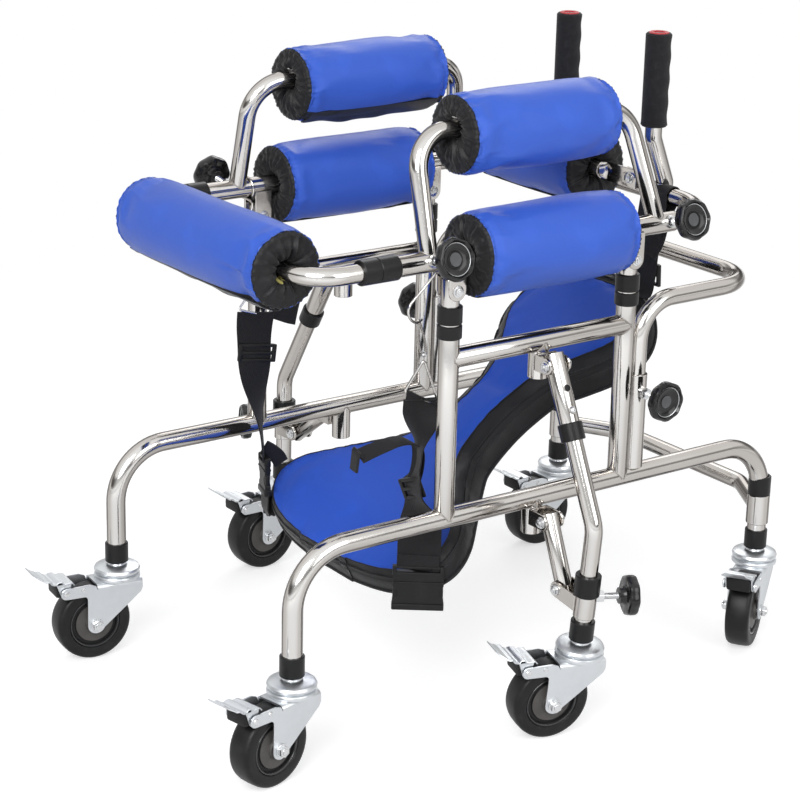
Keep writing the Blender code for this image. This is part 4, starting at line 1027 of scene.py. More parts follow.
class STAND_OT_outriggers(Maker):
    """Both outriggers: tube, bent leg, snap button, clamp sleeve and brace."""

    bl_idname = "stand.outriggers"
    bl_label = "Outriggers"

    def pieces(self):
        return [made for side in SIDES for made in self.outrigger(side)]

    def outrigger(self, side):
        layout = outrigger_layout(side)
        down = Vector((-math.sin(OUTRIGGER_BEND), 0, -math.cos(OUTRIGGER_BEND)))
        bend = Vector((0, 0, -layout["reach"]))
        foot = bend + down * LEG_LOWER
        body = f"outrigger_{side}"
        swing, seat = layout["swing"], layout["seat"]
        out = Matrix.Rotation(math.radians(-3), 3, "Z") @ Vector((1, 0, 0))
        tube = Piece(f"outrigger_upper_{side}")
        tube.add(rod((0, 0, 0.014), (0, 0, -0.092), TUBE_R), "plating")
        for drop in (0.057, 0.03):
            rim = Vector((0, 0, -drop)) + out * TUBE_R * 0.985
            tube.add(band_ring(rim - out * 0.001, rim + out * 0.0004, 0.005, 0.0042, 20, 0.0002), "weld")
        spare = Vector((0, 0, -0.03)) + out * TUBE_R * 0.955
        tube.add(rod(spare, spare + out * 0.0007, 0.0041, 16, 0.0001), "shoe")
        collar = Piece(f"outrigger_collar_{side}")
        collar.add(band_ring((0, 0, -0.071), (0, 0, -0.093), COLLAR_R, 0.0113), "collar")
        leg = Piece(f"outrigger_bent_leg_{side}")
        line = bent([(0, 0, -0.022), bend, foot - down * 0.001], 0.04)
        leg.add(closed_tube(line, INNER_R), "plating")
        shoe = Piece(f"outrigger_foot_collar_{side}")
        shoe.add(band_ring(foot - down * 0.0257, foot, COLLAR_R, 0.0108), "collar")
        button = Piece(f"outrigger_button_head_{side}")
        centre = Vector((0, 0, -0.057))
        dome = ((0.0, 0.0155), (0.0016, 0.01545), (0.0028, 0.015), (0.0037, 0.0142), (0.0041, 0.013),
                (0.0041, 0.0038), (0.0, 0.0038))
        button.add(moved(turned(dome, 24), along(centre, centre + out)), "bright_zinc")
        sleeve = Piece(f"clamp_sleeve_{side}")
        sleeve.add(band_ring((0, 0, -0.02), (0, 0, 0.034), 0.0135, 0.0111, 32, 0.0006), "plating")
        half = INNER_R + 0.0007
        outline = [(-0.004, 0.008), *arc((-BRACE_OFFSET, 0), 0.01, 90, 270, 14), (-0.004, -0.012)]
        for sign in (-1, 1):
            ear = sheet_plate(outline, PLATE, 0.0005)
            sleeve.add(moved(ear, Matrix.Translation((0, sign * (half + PLATE / 2), 0))), "plating")
        knob_way = Vector((math.cos(math.radians(67)), math.sin(math.radians(67)), 0))
        sleeve.add(knob_nut((0, 0, 0.006), knob_way, 0.0135), "bright_zinc")
        grip = Piece(f"clamp_collar_{side}")
        grip.add(band_ring((0, 0, 0.009), (0, 0, 0.036), 0.016, 0.0113), "collar")
        bolt = Piece(f"clamp_bolt_{side}")
        bolt.add(bolt_ends((-BRACE_OFFSET, 0, 0), (0, 1, 0), half + PLATE), "bright_zinc")
        near, far = (-BRACE_OFFSET, -half - PLATE, 0), (-BRACE_OFFSET, half + PLATE, 0)
        bolt.add(rod(near, far, 0.003), "bright_zinc")
        strut = Piece(f"brace_tube_{side}")
        strut.add(rod((0, 0, 0.009), (0, 0, -BRACE_LENGTH - 0.009), INNER_R), "plating")
        sleeve_body = f"outrigger_sleeve_{side}"
        tube_node, leg_node = f"outrigger_tube_{side}", f"outrigger_leg_{side}"
        return [
            tube.make(body, "chrome", [tube_node], swing),
            collar.make(body, "knob_plastic", [tube_node], swing),
            leg.make(body, "chrome", [leg_node], swing),
            shoe.make(body, "knob_plastic", [leg_node], swing),
            button.make(f"outrigger_button_{side}", "steel", [f"snap_button_{side}"], swing),
            sleeve.make(sleeve_body, "chrome", [sleeve_body], seat),
            grip.make(sleeve_body, "knob_plastic", [sleeve_body], seat),
            bolt.make(sleeve_body, "zinc", [sleeve_body], seat),
            strut.make(f"outrigger_strut_{side}", "chrome", [f"outrigger_strut_{side}"], layout["brace"]),
        ]


# Casters


def caster_frame(place):
    """A caster's place: Z up its swivel, Y along its axle, the wheel toward +X."""
    joint = JOINTS[f"swivel_{place}"]
    up = Vector(joint["axis"]).normalized()
    axle = Vector(JOINTS[f"wheel_spin_{place}"]["axis"]).normalized()
    forward = axle.cross(up).normalized()
    turn = Matrix((forward, axle, up)).transposed().to_4x4()
    return Matrix.Translation(joint["pos_m"]) @ turn


def caster_fork(name):
    """Raceway dish, folded fork and axle nuts."""
    fork = Piece(name)
    dish = (
        (0.0, -0.001), (0.011, -0.001), (0.012, -0.0035), (0.0245, -0.0045), (0.0285, -0.0065),
        (0.03, -0.0095), (0.029, -0.0125), (0.0268, -0.0138), (0.0262, -0.015), (0.029, -0.0155),
        (0.03, -0.0172), (0.0298, -0.0205), (0.0, -0.0205),
    )
    fork.add(turned(dish, 48), "zinc")
    half, thick, bend = 0.022, 0.0025, 0.006
    knee = -0.0267
    section = []
    for inset in (0.0, thick):
        line = [(-half + inset, knee - 0.0004)]
        for i in range(7):
            a = math.radians(180 - 90 * i / 6)
            line.append((-half + bend + (bend - inset) * math.cos(a), knee + (bend - inset) * math.sin(a)))
        line += [(-y, z) for y, z in reversed(line)]
        section.append(line)
    loop = section[0] + list(reversed(section[1]))
    rows = [[Vector((x, y, z)) for y, z in loop] for x in (-0.027, -0.0266, 0.0346, 0.035)]
    for row, share in ((rows[0], 0.985), (rows[3], 0.985)):
        middle = sum(row, Vector()) / len(row)
        row[:] = [Vector((point.x, middle.y + (point.y - middle.y) * share, point.z)) for point in row]
    points, faces, _ = ring_shell(rows)
    count = len(loop)
    pairs = len(section[0])
    for base_at, flip in ((0, False), (3 * count, True)):
        for i in range(pairs - 1):
            face = (base_at + i, base_at + i + 1, base_at + count - 2 - i, base_at + count - 1 - i)
            faces.append(tuple(reversed(face)) if flip else face)
    fork.add((points, faces, None), "zinc")
    cheek = [
        (-0.027, knee), (-0.027, -0.034), (-0.0245, -0.0395),
        *arc((TRAIL, AXLE_DROP), 0.012, 205, 368, 16),
        (TRAIL + 0.0115, -0.046), *arc((TRAIL + 0.0165, -0.039), 0.005, 180, 95, 5),
        (PIVOT.x - 0.004, PIVOT.z - 0.0076), *arc((PIVOT.x, PIVOT.z), 0.0075, -90, 95, 12),
        (0.046, -0.0182), (0.0375, -0.0215), (0.0352, knee),
    ]
    for sign in (-1, 1):
        plate = sheet_plate(cheek, thick - 0.0001, 0.0004)
        fork.add(moved(plate, Matrix.Translation((0, sign * (half - thick / 2), 0))), "zinc")
        face = sign * half
        for start, end, radius in ((0.0, 0.0014, 0.0085), (0.0066, 0.0086, 0.0042)):
            near, far = ((TRAIL, face + sign * reach, AXLE_DROP) for reach in (start, end))
            fork.add(rod(near, far, radius, 24, 0.0004), "bright_zinc")
        near, far = ((TRAIL, face + sign * reach, AXLE_DROP) for reach in (0.0014, 0.0068))
        fork.add(hex_nut(near, far, 0.0074), "bright_zinc")
        for x, z, radius in ((PIVOT.x, PIVOT.z, 0.0042), (0.055, -0.0235, 0.0032)):
            head = ((0.0, 0.0016), (radius * 0.5, 0.0014), (radius * 0.85, 0.0009), (radius, 0.0), (0.0, 0.0))
            fork.add(moved(turned(head, 20), along((x, face, z), (x, face + sign, z))), "bright_zinc")
    fork.add(rod((TRAIL, -half, AXLE_DROP), (TRAIL, half, AXLE_DROP), 0.0045), "bright_zinc")
    fork.add(rod((PIVOT.x, -half, PIVOT.z), (PIVOT.x, half, PIVOT.z), 0.0024), "bright_zinc")
    return fork


def caster_wheel(name):
    """Hub, dished web, bright ring and rubber tread."""
    half = (
        (0.006, 0.018, "hub"), (0.0122, 0.0179, "hub"), (0.013, 0.017, "hub"), (0.0134, 0.0148, "hub"),
        (0.02, 0.0136, "hub"), (0.0255, 0.0131, "shoe"), (0.0265, 0.0113, "shoe"), (0.03, 0.011, "shoe"),
        (0.0308, 0.0135, "hub_ring"), (0.0318, 0.0148, "hub_ring"), (0.033, 0.0148, "hub_ring"),
        (0.0338, 0.0138, "tread"), (0.0348, 0.0153, "tread"), (0.044, 0.016, "tread"),
        (0.0472, 0.0152, "tread"),
        (0.049, 0.0132, "tread"), (0.0499, 0.0095, "tread"), (0.0502, 0.0, "tread"),
    )
    sides = 56
    rows = [*half, *((r, -y, look) for r, y, look in reversed(half[:-1]))]
    looks = []
    for i, (_, _, look) in enumerate(rows):
        after = rows[(i + 1) % len(rows)]
        name_of = look if i < len(half) - 1 else after[2]
        looks.extend(["hub" if i == len(rows) - 1 else name_of] * sides)
    shell = turned([(r, y) for r, y, _ in rows], sides)
    return Piece(name).add(moved(shell, Matrix.Rotation(math.pi / 2, 4, "X")), looks)


def caster_pedal(name):
    """The corrugated brake pedal on its rivet, with a rubber shoe under it."""
    pedal = Piece(name)
    line = smooth_line([
        (-0.012, 0, 0.01), (-0.008, 0, 0.0135), (0.002, 0, 0.0135), (0.005, 0, 0.0165),
        (0.01, 0, 0.0165), (0.013, 0, 0.0145), (0.019, 0, 0.0165), (0.022, 0, 0.02),
        (0.027, 0, 0.0205), (0.03, 0, 0.0225), (0.036, 0, 0.026), (0.0425, 0, 0.0315),
    ], 48)
    widths = [0.037 + 0.0035 * smooth_step((p.x - 0.008) / 0.008)
              - 0.0145 * smooth_step((p.x - 0.024) / 0.019)
              for p in line]
    pedal.add(strip(line, (0, -1, 0), widths, 0.0016, 6), "zinc")
    pedal.add(box((-0.009, -0.016, -0.006), (0.012, 0.016, 0.012), 0.003), "shoe")
    for y in (-0.0172, 0.0172):
        outline = [*arc((0, 0), 0.007, 150, 330, 10), (0.012, 0.013), (-0.008, 0.013)]
        pedal.add(moved(sheet_plate(outline, 0.0016, 0.0003), Matrix.Translation((0, y, 0))), "zinc")
    return pedal


class STAND_OT_casters(Maker):
    """Six braked swivel casters."""

    bl_idname = "stand.casters"
    bl_label = "Casters"

    def pieces(self):
        made = []
        for place in PLACES:
            where = caster_frame(place)
            fork = caster_fork(f"caster_dish_and_fork_{place}")
            made.append(fork.make(f"caster_{place}", "zinc", [f"caster_fork_{place}"], where))
            axle = where @ Matrix.Translation((TRAIL, 0, AXLE_DROP))
            wheel = caster_wheel(f"caster_tyre_and_hub_{place}")
            made.append(wheel.make(f"wheel_{place}", "tread", [f"caster_wheel_{place}"], axle))
            rivet = where @ Matrix.Translation(PIVOT)
            pedal = caster_pedal(f"caster_brake_{place}")
            made.append(pedal.make(f"pedal_{place}", "zinc", [f"brake_pedal_{place}"], rivet))
        return made


# Knobs


def knob(name):
    """A clamp knob whose stud runs along local Z from the tube that it clamps."""
    profile = (
        (0.0, 0.0572), (0.008, 0.0572, 0.0), (0.0084, 0.0562, 0.0), (0.011, 0.056, 0.0),
        (0.016, 0.0572, 0.0),
        (0.0184, 0.0592, 0.0), (0.0191, 0.0596, 0.0), (0.0196, 0.059, 0.2), (0.0214, 0.0618, 1.0),
        (0.0235, 0.0612, 1.0), (0.025, 0.0585, 1.0), (0.025, 0.053, 1.0), (0.024, 0.05, 1.0),
        (0.0215, 0.0485, 0.8), (0.015, 0.049, 0.4), (0.012, 0.048, 0.1), (0.0105, 0.0455, 0.0),
        (0.01, 0.041, 0.0), (0.006, 0.0405, 0.0), (0.0, 0.0405),
    )
    sides = 96
    shell = turned(profile, sides, 8, 0.024)
    made = Piece(name)
    count = len(profile) - 3
    looks = []
    for i in range(count):
        looks.extend(["knob_ring" if i == 4 else "knob"] * sides)
    looks.extend(["knob_disc"] * sides)
    looks.extend(["knob"] * sides)
    made.add(shell, looks)
    thread = []
    start, end = 0.0113, 0.045
    turns = 26
    for i in range(turns * 2 + 1):
        thread.append((0.004 if i % 2 else 0.0034, start + (end - start) * i / (turns * 2)))
    stud = [(0.0, end), *((r, h) for r, h in reversed(thread)), (0.0, start)]
    made.add(turned(stud, 20), "bright_zinc")
    return made


class STAND_OT_knobs(Maker):
    """Eight lobed clamp knobs."""

    bl_idname = "stand.knobs"
    bl_label = "Clamp knobs"

    def pieces(self):
        made = []
        for side in SIDES:
            for node in ("front_arm_knob", "rear_arm_knob", "push_bar_knob", "outrigger_knob"):
                where = joint_frame(f"{node}_turn_{side}")
                body = f"{node}_{side}"
                made.append(knob(f"lobed_{body}").make(body, "knob_plastic", [body], where))
        return made


# Ring, posts and arms


def hoop_point(side, y, rise):
    x = SIDES[side] * (HALF_TRACK - rise * math.sin(HOOP_LEAN))
    return Vector((x, y, RING_Z + rise * math.cos(HOOP_LEAN)))


def ring_knob_way(side):
    tilt = math.radians({"right": 16, "left": 8}[side])
    return Vector((SIDES[side] * math.cos(tilt), 0, math.sin(tilt)))


class STAND_OT_ring(Maker):
    """The padded ring's tubes: sleeves, hoops, ears, posts and the rear roller's bar."""

    bl_idname = "stand.ring"
    bl_label = "Ring tubes"

    def pieces(self):
        made = [piece for side in SIDES for piece in self.side(side)]
        return [*made, self.rear_bar()]

    def side(self, side):
        sign = SIDES[side]
        x = sign * HALF_TRACK
        front, rear = RING_YS
        node = f"ring_frame_{side}"
        tubes = Piece(f"ring_tubes_{side}")
        tubes.add(band_ring((x, front, RING_Z), (x, rear, RING_Z), TUBE_R, 0.0111, 32, 0.0005), "plating")
        foot_ys = (-0.188, 0.158)
        hoop = [hoop_point(side, foot_ys[0], 0.004), hoop_point(side, foot_ys[0], HOOP_RISE),
                hoop_point(side, 0.13, HOOP_RISE), hoop_point(side, foot_ys[1], 0.004)]
        tubes.add(closed_tube(bent(hoop, 0.045), INNER_R), "plating")
        for y, head in zip(foot_ys, (hoop[1], hoop[2])):
            foot = Vector((x, y, RING_Z))
            tubes.add(weld_bead(foot, head - foot, (0, 1, 0), INNER_R, TUBE_R), "weld")
        bolts = Piece(f"post_bolts_{side}")
        for y in POST_YS:
            outline = [(0.012, RING_Z - 0.004), (-0.012, RING_Z - 0.004),
                       *arc((0, POST_BOLT_Z), 0.012, 180, 360, 16)]
            for share in (-1, 1):
                place = (x + share * (INNER_R + 0.0003 + PLATE / 2), y, 0)
                tubes.add(turn_plate(sheet_plate(outline, PLATE, 0.0005), 90, place), "plating")
            bolts.add(bolt_ends((x, y, POST_BOLT_Z), (1, 0, 0), INNER_R + 0.0003 + PLATE), "bright_zinc")
        lug_y = REAR_PAD_Y + PLATE / 2 + 0.0003
        hoop_x = abs(hoop_point(side, 0, REAR_PAD_Z - RING_Z).x)
        inner, outer = sorted((sign * (REAR_PLATE_X - 0.018), sign * hoop_x))
        low, high = (inner, lug_y, REAR_PAD_Z - 0.012), (outer, lug_y + PLATE, REAR_PAD_Z + 0.012)
        tubes.add(box(low, high, 0.0009), "plating")
        for y in (-0.192, 0.168):
            tubes.add(knob_nut((x, y, RING_Z), ring_knob_way(side), TUBE_R), "bright_zinc")
        collar = Piece(f"ring_collar_{side}")
        collar.add(band_ring((x, front + 0.027, RING_Z), (x, front, RING_Z), COLLAR_R, 0.0112), "collar")
        made = [
            tubes.make("ring", "chrome", [node]),
            bolts.make("ring", "zinc", [node]),
            collar.make("ring", "knob_plastic", [node]),
        ]
        for end, y in zip(("front", "rear"), POST_YS):
            post = Piece(f"post_tube_{end}_{side}")
            post.add(rod((x, y, 0.322), (x, y, 0.573), INNER_R, 32, 0.0012), "plating")
            made.append(post.make("ring", "chrome", [f"height_post_{end}_{side}"]))
        return made

    def rear_bar(self):
        bar = Piece("rear_roller_bar")
        y, z = REAR_PAD_Y, REAR_PAD_Z
        bar.add(rod((-0.118, y, z), (0.118, y, z), INNER_R), "plating")
        for sign in (-1, 1):
            rows = []
            for share in range(9):
                t = share / 8
                flat = smooth_step(t)
                x = sign * (0.11 + 0.018 * t)
                tall = INNER_R * (1 - flat) + 0.0118 * flat
                deep = INNER_R * (1 - flat) + (PLATE / 2) * flat
                rows.append([
                    Vector((x, y + deep * math.cos(a), z + tall * math.sin(a)))
                    for a in (2 * math.pi * j / 24 for j in range(24))
                ])
            bar.add(ring_shell(rows, Vector((rows[0][0].x, y, z)), Vector((rows[-1][0].x, y, z))), "plating")
            inner, outer = sorted((sign * 0.126, sign * (REAR_PLATE_X + 0.004)))
            low, high = (inner, y - PLATE / 2, z - 0.012), (outer, y + PLATE / 2, z + 0.012)
            bar.add(box(low, high, 0.0012), "plating")
            x = sign * (REAR_PLATE_X - 0.008)
            face = y - PLATE / 2
            bar.add(washer((x, face, z), (x, face - 0.0009, z), 0.0075), "bright_zinc")
            bar.add(hex_nut((x, face - 0.0009, z), (x, face - 0.0042, z), 0.0058, 0.0008), "bright_zinc")
        return bar.make("ring", "chrome", ["rear_pad_bar"])


class STAND_OT_arms(Maker):
    """The front arm, the rear arm with its two handles, and the push bar."""

    bl_idname = "stand.arms"
    bl_label = "Arms and push bar"

    def pieces(self):
        front, rear = RING_YS
        arm = Piece("front_arm_tube")
        corners = [(-HALF_TRACK, front + 0.19, RING_Z), (-HALF_TRACK, FRONT_ARM_Y, RING_Z),
                   (HALF_TRACK, FRONT_ARM_Y, RING_Z), (HALF_TRACK, front + 0.19, RING_Z)]
        arm.add(closed_tube(bent(corners, 0.045), INNER_R), "plating")
        collars = Piece("front_arm_collars")
        end = front - 0.0003
        for x in (-HALF_TRACK, HALF_TRACK):
            collars.add(band_ring((x, end, RING_Z), (x, end - 0.023, RING_Z), COLLAR_R, 0.0108), "collar")
        back = Piece("rear_arm_tube")
        corners = [(-HALF_TRACK, rear - 0.19, RING_Z), (-HALF_TRACK, REAR_ARM_Y, RING_Z),
                   (HALF_TRACK, REAR_ARM_Y, RING_Z), (HALF_TRACK, rear - 0.19, RING_Z)]
        back.add(closed_tube(bent(corners, 0.085), INNER_R), "plating")
        for sign in (-1, 1):
            x = sign * HANDLE_X
            stem = [(x, REAR_ARM_Y, RING_Z), (x, REAR_ARM_Y + 0.007, RING_Z + 0.012),
                    (x, HANDLE_Y, 0.672), (x, HANDLE_Y, 0.792)]
            back.add(closed_tube(bent(stem, [0.01, 0.022]), INNER_R), "plating")
            way = Vector(stem[1]) - Vector(stem[0])
            back.add(weld_bead(stem[0], way, (1, 0, 0), INNER_R, INNER_R), "weld")
        bar = Piece("push_bar_tube")
        z, y, far = PUSH_BAR_Z, PUSH_SLEEVE[0], PUSH_BAR_Y
        corners = [(-HALF_TRACK, y, 0.305), (-HALF_TRACK, y, z), (-HALF_TRACK, far, z),
                   (HALF_TRACK, far, z), (HALF_TRACK, y, z), (HALF_TRACK, y, 0.305)]
        bar.add(closed_tube(bent(corners, [0.05, 0.065, 0.065, 0.05]), INNER_R), "plating")
        return [
            arm.make("front_arm", "chrome", ["front_arm"]),
            collars.make("front_arm", "knob_plastic", ["front_arm"]),
            back.make("rear_arm", "chrome", ["rear_arm"]),
            bar.make("push_bar", "chrome", ["push_bar"]),
        ]


class STAND_OT_grips(Maker):
    """Foam grips with a red ring round their open tops, each opening closed by a black disc of painted shade.
    """

    bl_idname = "stand.grips"
    bl_label = "Handle grips"

    def pieces(self):
        made = []
        bottom, top = 0.687, 0.806
        for side, sign in SIDES.items():
            rows = []
            sides, count = 40, 60
            for i in range(count + 1):
                t = i / count
                height = bottom + (top - bottom) * t
                edge = min(t * (top - bottom), (1 - t) * (top - bottom))
                rounding = 0.0018 * (1 - math.sqrt(max(0.0, 1 - (1 - min(edge, 0.0018) / 0.0018) ** 2)))
                flare = 0.0005 * smooth_step((0.006 - t * (top - bottom)) / 0.005)
                row = []
                for j in range(sides):
                    a = 2 * math.pi * j / sides
                    finger = 0.5 - 0.5 * math.cos(2 * math.pi * t * 4)
                    groove = 0.0011 * finger * smooth_step((math.sin(a) + 0.55) / 0.9)
                    reach = 0.0168 + flare - rounding - groove
                    row.append(Vector((reach * math.cos(a), reach * math.sin(a), height)))
                rows.append(row)
            shell = ring_shell(rows, Vector((0, 0, bottom)), Vector((0, 0, top - 0.0002)))
            grip = Piece(f"foam_grip_{side}").add(shell, "foam")
            ring = (
                (0.0, top - 0.0001), (0.007, top - 0.0001), (0.0074, top + 0.001),
                (0.0082, top + 0.0014), (0.0118, top + 0.0014), (0.0128, top + 0.0008),
                (0.013, top - 0.0006), (0.0, top - 0.0006),
            )
            # The disc inside the red ring is black: painted shade for the dark inside of the open top
            looks = ["red_cap"] * (40 * 5) + ["shoe"] * 40 + ["red_cap"] * 40
            grip.add(turned(ring, 40), looks)
            where = SHIFT @ Matrix.Translation((sign * HANDLE_X, HANDLE_Y, 0))
            made.append(grip.make("rear_arm", "foam", [f"handle_grip_{side}"], where))
        return made


# Soft pieces


def blown(shell, held, pressure, grow, cap, frames=20):
    """The shell after a short cloth simulation that fills it; held has a hold from 0 to 1 for each point."""
    points, faces, uvs = shell
    mesh = bpy.data.meshes.new("blown")
    mesh.from_pydata([tuple(point) for point in points], [], faces)
    thing = bpy.data.objects.new("blown", mesh)
    scene = bpy.context.scene
    scene.collection.objects.link(thing)
    group = thing.vertex_groups.new(name="held")
    for i, hold in enumerate(held):
        if hold > 0:
            group.add([i], hold, "REPLACE")
    cloth = thing.modifiers.new("cloth", "CLOTH")
    settings = cloth.settings
    settings.quality = 6
    settings.mass = 0.15
    settings.tension_stiffness = 12.0
    settings.compression_stiffness = 12.0
    settings.shear_stiffness = 4.0
    settings.bending_stiffness = 0.25
    settings.use_pressure = True
    settings.uniform_pressure_force = pressure
    settings.vertex_group_mass = "held"
    settings.shrink_min = -grow
    settings.effector_weights.gravity = 0.0
    cloth.collision_settings.use_collision = False
    cloth.point_cache.frame_start = 1
    cloth.point_cache.frame_end = frames
    for i in range(1, frames + 1):
        scene.frame_set(i)
    settled = thing.evaluated_get(bpy.context.evaluated_depsgraph_get())
    after = np.zeros(len(points) * 3, np.float32)
    settled.data.vertices.foreach_get("co", after)
    bpy.data.objects.remove(thing, do_unlink=True)
    bpy.data.meshes.remove(mesh)
    scene.frame_set(1)
    before = np.array([tuple(point) for point in points])
    step = after.reshape(-1, 3).astype(float) - before
    far = np.linalg.norm(step, axis=1, keepdims=True)
    if not np.isfinite(far).all():
        raise RuntimeError("a filled piece came apart")
    step = step * (cap * np.tanh(far / cap) / np.maximum(far, 1e-9))
    return [Vector(point) for point in before + step], faces, uvs


def soft_wave(seed, x, y=0.0, z=0.0):
    """A smooth wave between about -1 and 1."""
    return noise.noise(Vector((x + seed * 13.7, y + seed * 5.1, z + seed * 2.3))) * 1.6


class Roller:
    """A padded roller on a tube: a blue barrel, black drawn ends and a closing strip along it.

    Its own frame has Z along the tube, X up, and angles run from X towards Y."""

    AROUND = 144

    def __init__(self, start, end, radius, core, hang=0.0, folds=19, depth=0.005, seed=1, band=180.0,
                 band_width=0.03, peep=(None, None), gape=1.0):
        start, end = Vector(start), Vector(end)
        way = (end - start).normalized()
        up = (Vector((0, 0, 1)) - way * way.z).normalized()
        turn = Matrix((up, way.cross(up), way)).transposed().to_4x4()
        self.where = SHIFT @ Matrix.Translation((start + end) / 2 - Vector((0, 0, hang))) @ turn
        self.half = (end - start).length / 2
        self.radius, self.core, self.hang = radius, core, hang
        self.folds, self.depth, self.seed = folds, depth, seed
        self.band, self.band_width = math.radians(band), band_width
        self.peep, self.gape = peep, gape

    def fold(self, a, end):
        """The drawn folds at an angle, from -1 in a valley to 1 on a ridge."""
        drift = 0.55 * soft_wave(self.seed + end, 2.2 * math.cos(a), 2.2 * math.sin(a))
        wave = math.cos(self.folds * a + drift * 5.0 + end)
        sharp = 1 - 2 * abs(math.sin((self.folds * a + drift * 5.0 + end) / 2)) ** 0.7
        size = 0.75 + 0.5 * soft_wave(self.seed + 7 + end, 3.0 * math.cos(a), 3.0 * math.sin(a), 1.0)
        return (0.45 * wave + 0.55 * sharp) * size

    def end_point(self, a, share, end):
        """A point of a drawn end: share 0 at the hem by the tube, 1 at the shoulder."""
        hem = self.core + 0.0009
        rim = self.radius - 0.0065
        centre = self.hang
        reach = hem + (rim - hem) * share
        puff = 0.0035 * math.sin(math.pi * min(1.0, share * 1.15)) ** 0.8
        deep = self.depth * (1 - share) ** 0.8 * smooth_step(share / 0.16 + 0.25)
        outer = 0.0011 * share
        lift = puff - 0.0045 * (1 - share) ** 2.2 + self.fold(a, end) * (deep + outer) * 0.62
        swirl = 0.1 * (1 - share) * math.sin(self.folds * a * 0.5 + end)
        b = a + swirl * 0.35
        off = centre * (1 - share) ** 1.3
        height = self.half - 0.0035 + lift
        return Vector((reach * math.cos(b) + off, reach * math.sin(b), height if end else -height))

    def barrel_point(self, a, height, rim_inset=0.0):
        """A point of the barrel, with soft dents and short pulls beside its seams."""
        way = height / self.half
        crown = 0.0016 * (1 - way * way)
        dent = 0.0011 * soft_wave(self.seed + 3, 1.3 * math.cos(a), 1.3 * math.sin(a), way * 1.6)
        edge = self.half - abs(height)
        end = 1 if height > 0 else 0
        drift = soft_wave(self.seed + end, 3 * math.cos(a), 3 * math.sin(a))
        pulls = math.cos((self.folds * 2 + 3) * a + 3 * drift)
        local = 0.5 + 0.9 * soft_wave(self.seed + 11 + end, 2 * math.cos(a), 2 * math.sin(a))
        pull = 0.00085 * pulls * max(0.0, local) * math.exp(-((edge - 0.006) / 0.011) ** 2)
        reach = self.radius + crown + dent + pull - rim_inset
        return Vector((reach * math.cos(a), reach * math.sin(a), height))

    def shell(self):
        rows, looks, kinds = [], [], []
        bend = 0.0105
        angles = [2 * math.pi * j / self.AROUND for j in range(self.AROUND)]

        def bore(height):
            reach = self.core + 0.0002
            return [Vector((self.hang + reach * math.cos(a), reach * math.sin(a), height)) for a in angles]

        def add(row, kind, hold):
            rows.append(row)
            kinds.append((kind, hold))

        add(bore(-self.half + 0.01), "bore", 1.0)
        shares = [0.0, 0.06, 0.13, 0.21, 0.3, 0.4, 0.51, 0.63, 0.75, 0.87, 1.0]
        for share in shares:
            add([self.end_point(a, share, 0) for a in angles], "end", 1.0 if share < 0.05 else 0.25)
        arcs = [0.25, 0.55]
        for t in arcs:
            add([self.rim_point(a, t, 0) for a in angles], "end", 0.45)
        add([self.rim_point(a, 0.7, 0, 0.0007) for a in angles], "seam", 0.9)
        add([self.rim_point(a, 0.84, 0) for a in angles], "barrel", 0.35)
        heights = []
        body = self.half - bend
        for t in (0.0, 0.012, 0.028, 0.048, 0.075, 0.11, 0.155, 0.21, 0.275, 0.35, 0.42, 0.5):
            heights.append(-body + 2 * body * t)
        heights += [-h for h in reversed(heights[:-1])]
        for height in heights:
            add([self.barrel_point(a, height) for a in angles], "barrel", 0.0)
        add([self.rim_point(a, 0.84, 1) for a in angles], "barrel", 0.35)
        add([self.rim_point(a, 0.7, 1, 0.0007) for a in angles], "seam", 0.9)
        for t in reversed(arcs):
            add([self.rim_point(a, t, 1) for a in angles], "end", 0.45)
        for share in reversed(shares):
            add([self.end_point(a, share, 1) for a in angles], "end", 1.0 if share < 0.05 else 0.25)
        add(bore(self.half - 0.01), "bore", 1.0)
        count = len(rows)
        points, faces, _ = ring_shell([*rows, rows[0]])
        sides = self.AROUND
        faces = [tuple(i % (count * sides) for i in face) for face in faces]
        points = points[: count * sides]
        uvs, held = [], []
        run = 0.0
        for i, row in enumerate(rows):
            if i:
                run += (row[0] - rows[i - 1][0]).length
            uvs.extend((a * self.radius, run) for a in angles)
            held.extend([kinds[i][1]] * sides)
        for i in range(count):
            here, there = kinds[i][0], kinds[(i + 1) % count][0]
            for j in range(sides):
                looks.append(self.look(here, there, i, count, angles[j]))
        return (points, faces, uvs), held, looks

    def rim_point(self, a, t, end, inset=0.0):
        """A point of the rounded shoulder: t 0 at the drawn end, 1 at the barrel."""
        outer = self.end_point(a, 1.0, end)
        inner = self.barrel_point(a, (self.half - 0.0105) * (1 if end else -1))
        spread = math.pi / 2 * t
        flat = Vector((inner.x, inner.y, outer.z))
        rise, run = math.sin(spread), math.cos(spread)
        point = outer * (1 - rise) + flat * (rise + run - 1) + inner * (1 - run)
        away = Vector((math.cos(a), math.sin(a), 0.7 if end else -0.7)).normalized()
        tick = 0.0006 * math.cos((self.folds * 2 + 3) * a + end) * math.sin(math.pi * t)
        return point + away * (tick - inset)

    def look(self, here, there, row, count, a):
        if "bore" in (here, there):
            return "black_cloth"
        if "end" in (here, there):
            end = 0 if row < count / 2 else 1
            spot = self.peep[end]
            if spot is not None and row in (1, 2, count - 3, count - 4):
                off = (a - math.radians(spot[0]) + math.pi) % (2 * math.pi) - math.pi
                if abs(off) < math.radians(spot[1]):
                    return spot[2]
            return "black_cloth"
        off = (a - self.band + math.pi) % (2 * math.pi) - math.pi
        if abs(off) * self.radius < self.band_width / 2:
            return "black_cloth"
        return "pad_cloth"

    def make(self, name, body, node):
        shell, held, looks = self.shell()
        shell = blown(shell, held, 3.0, 0.035, 0.0045)
        pad = Piece(name)
        pad.add(shell, looks)
        made = pad.make(body, "pad_fabric", [node], self.where, 60)
        return [made, self.flap(f"{name}_closing", body, node)]

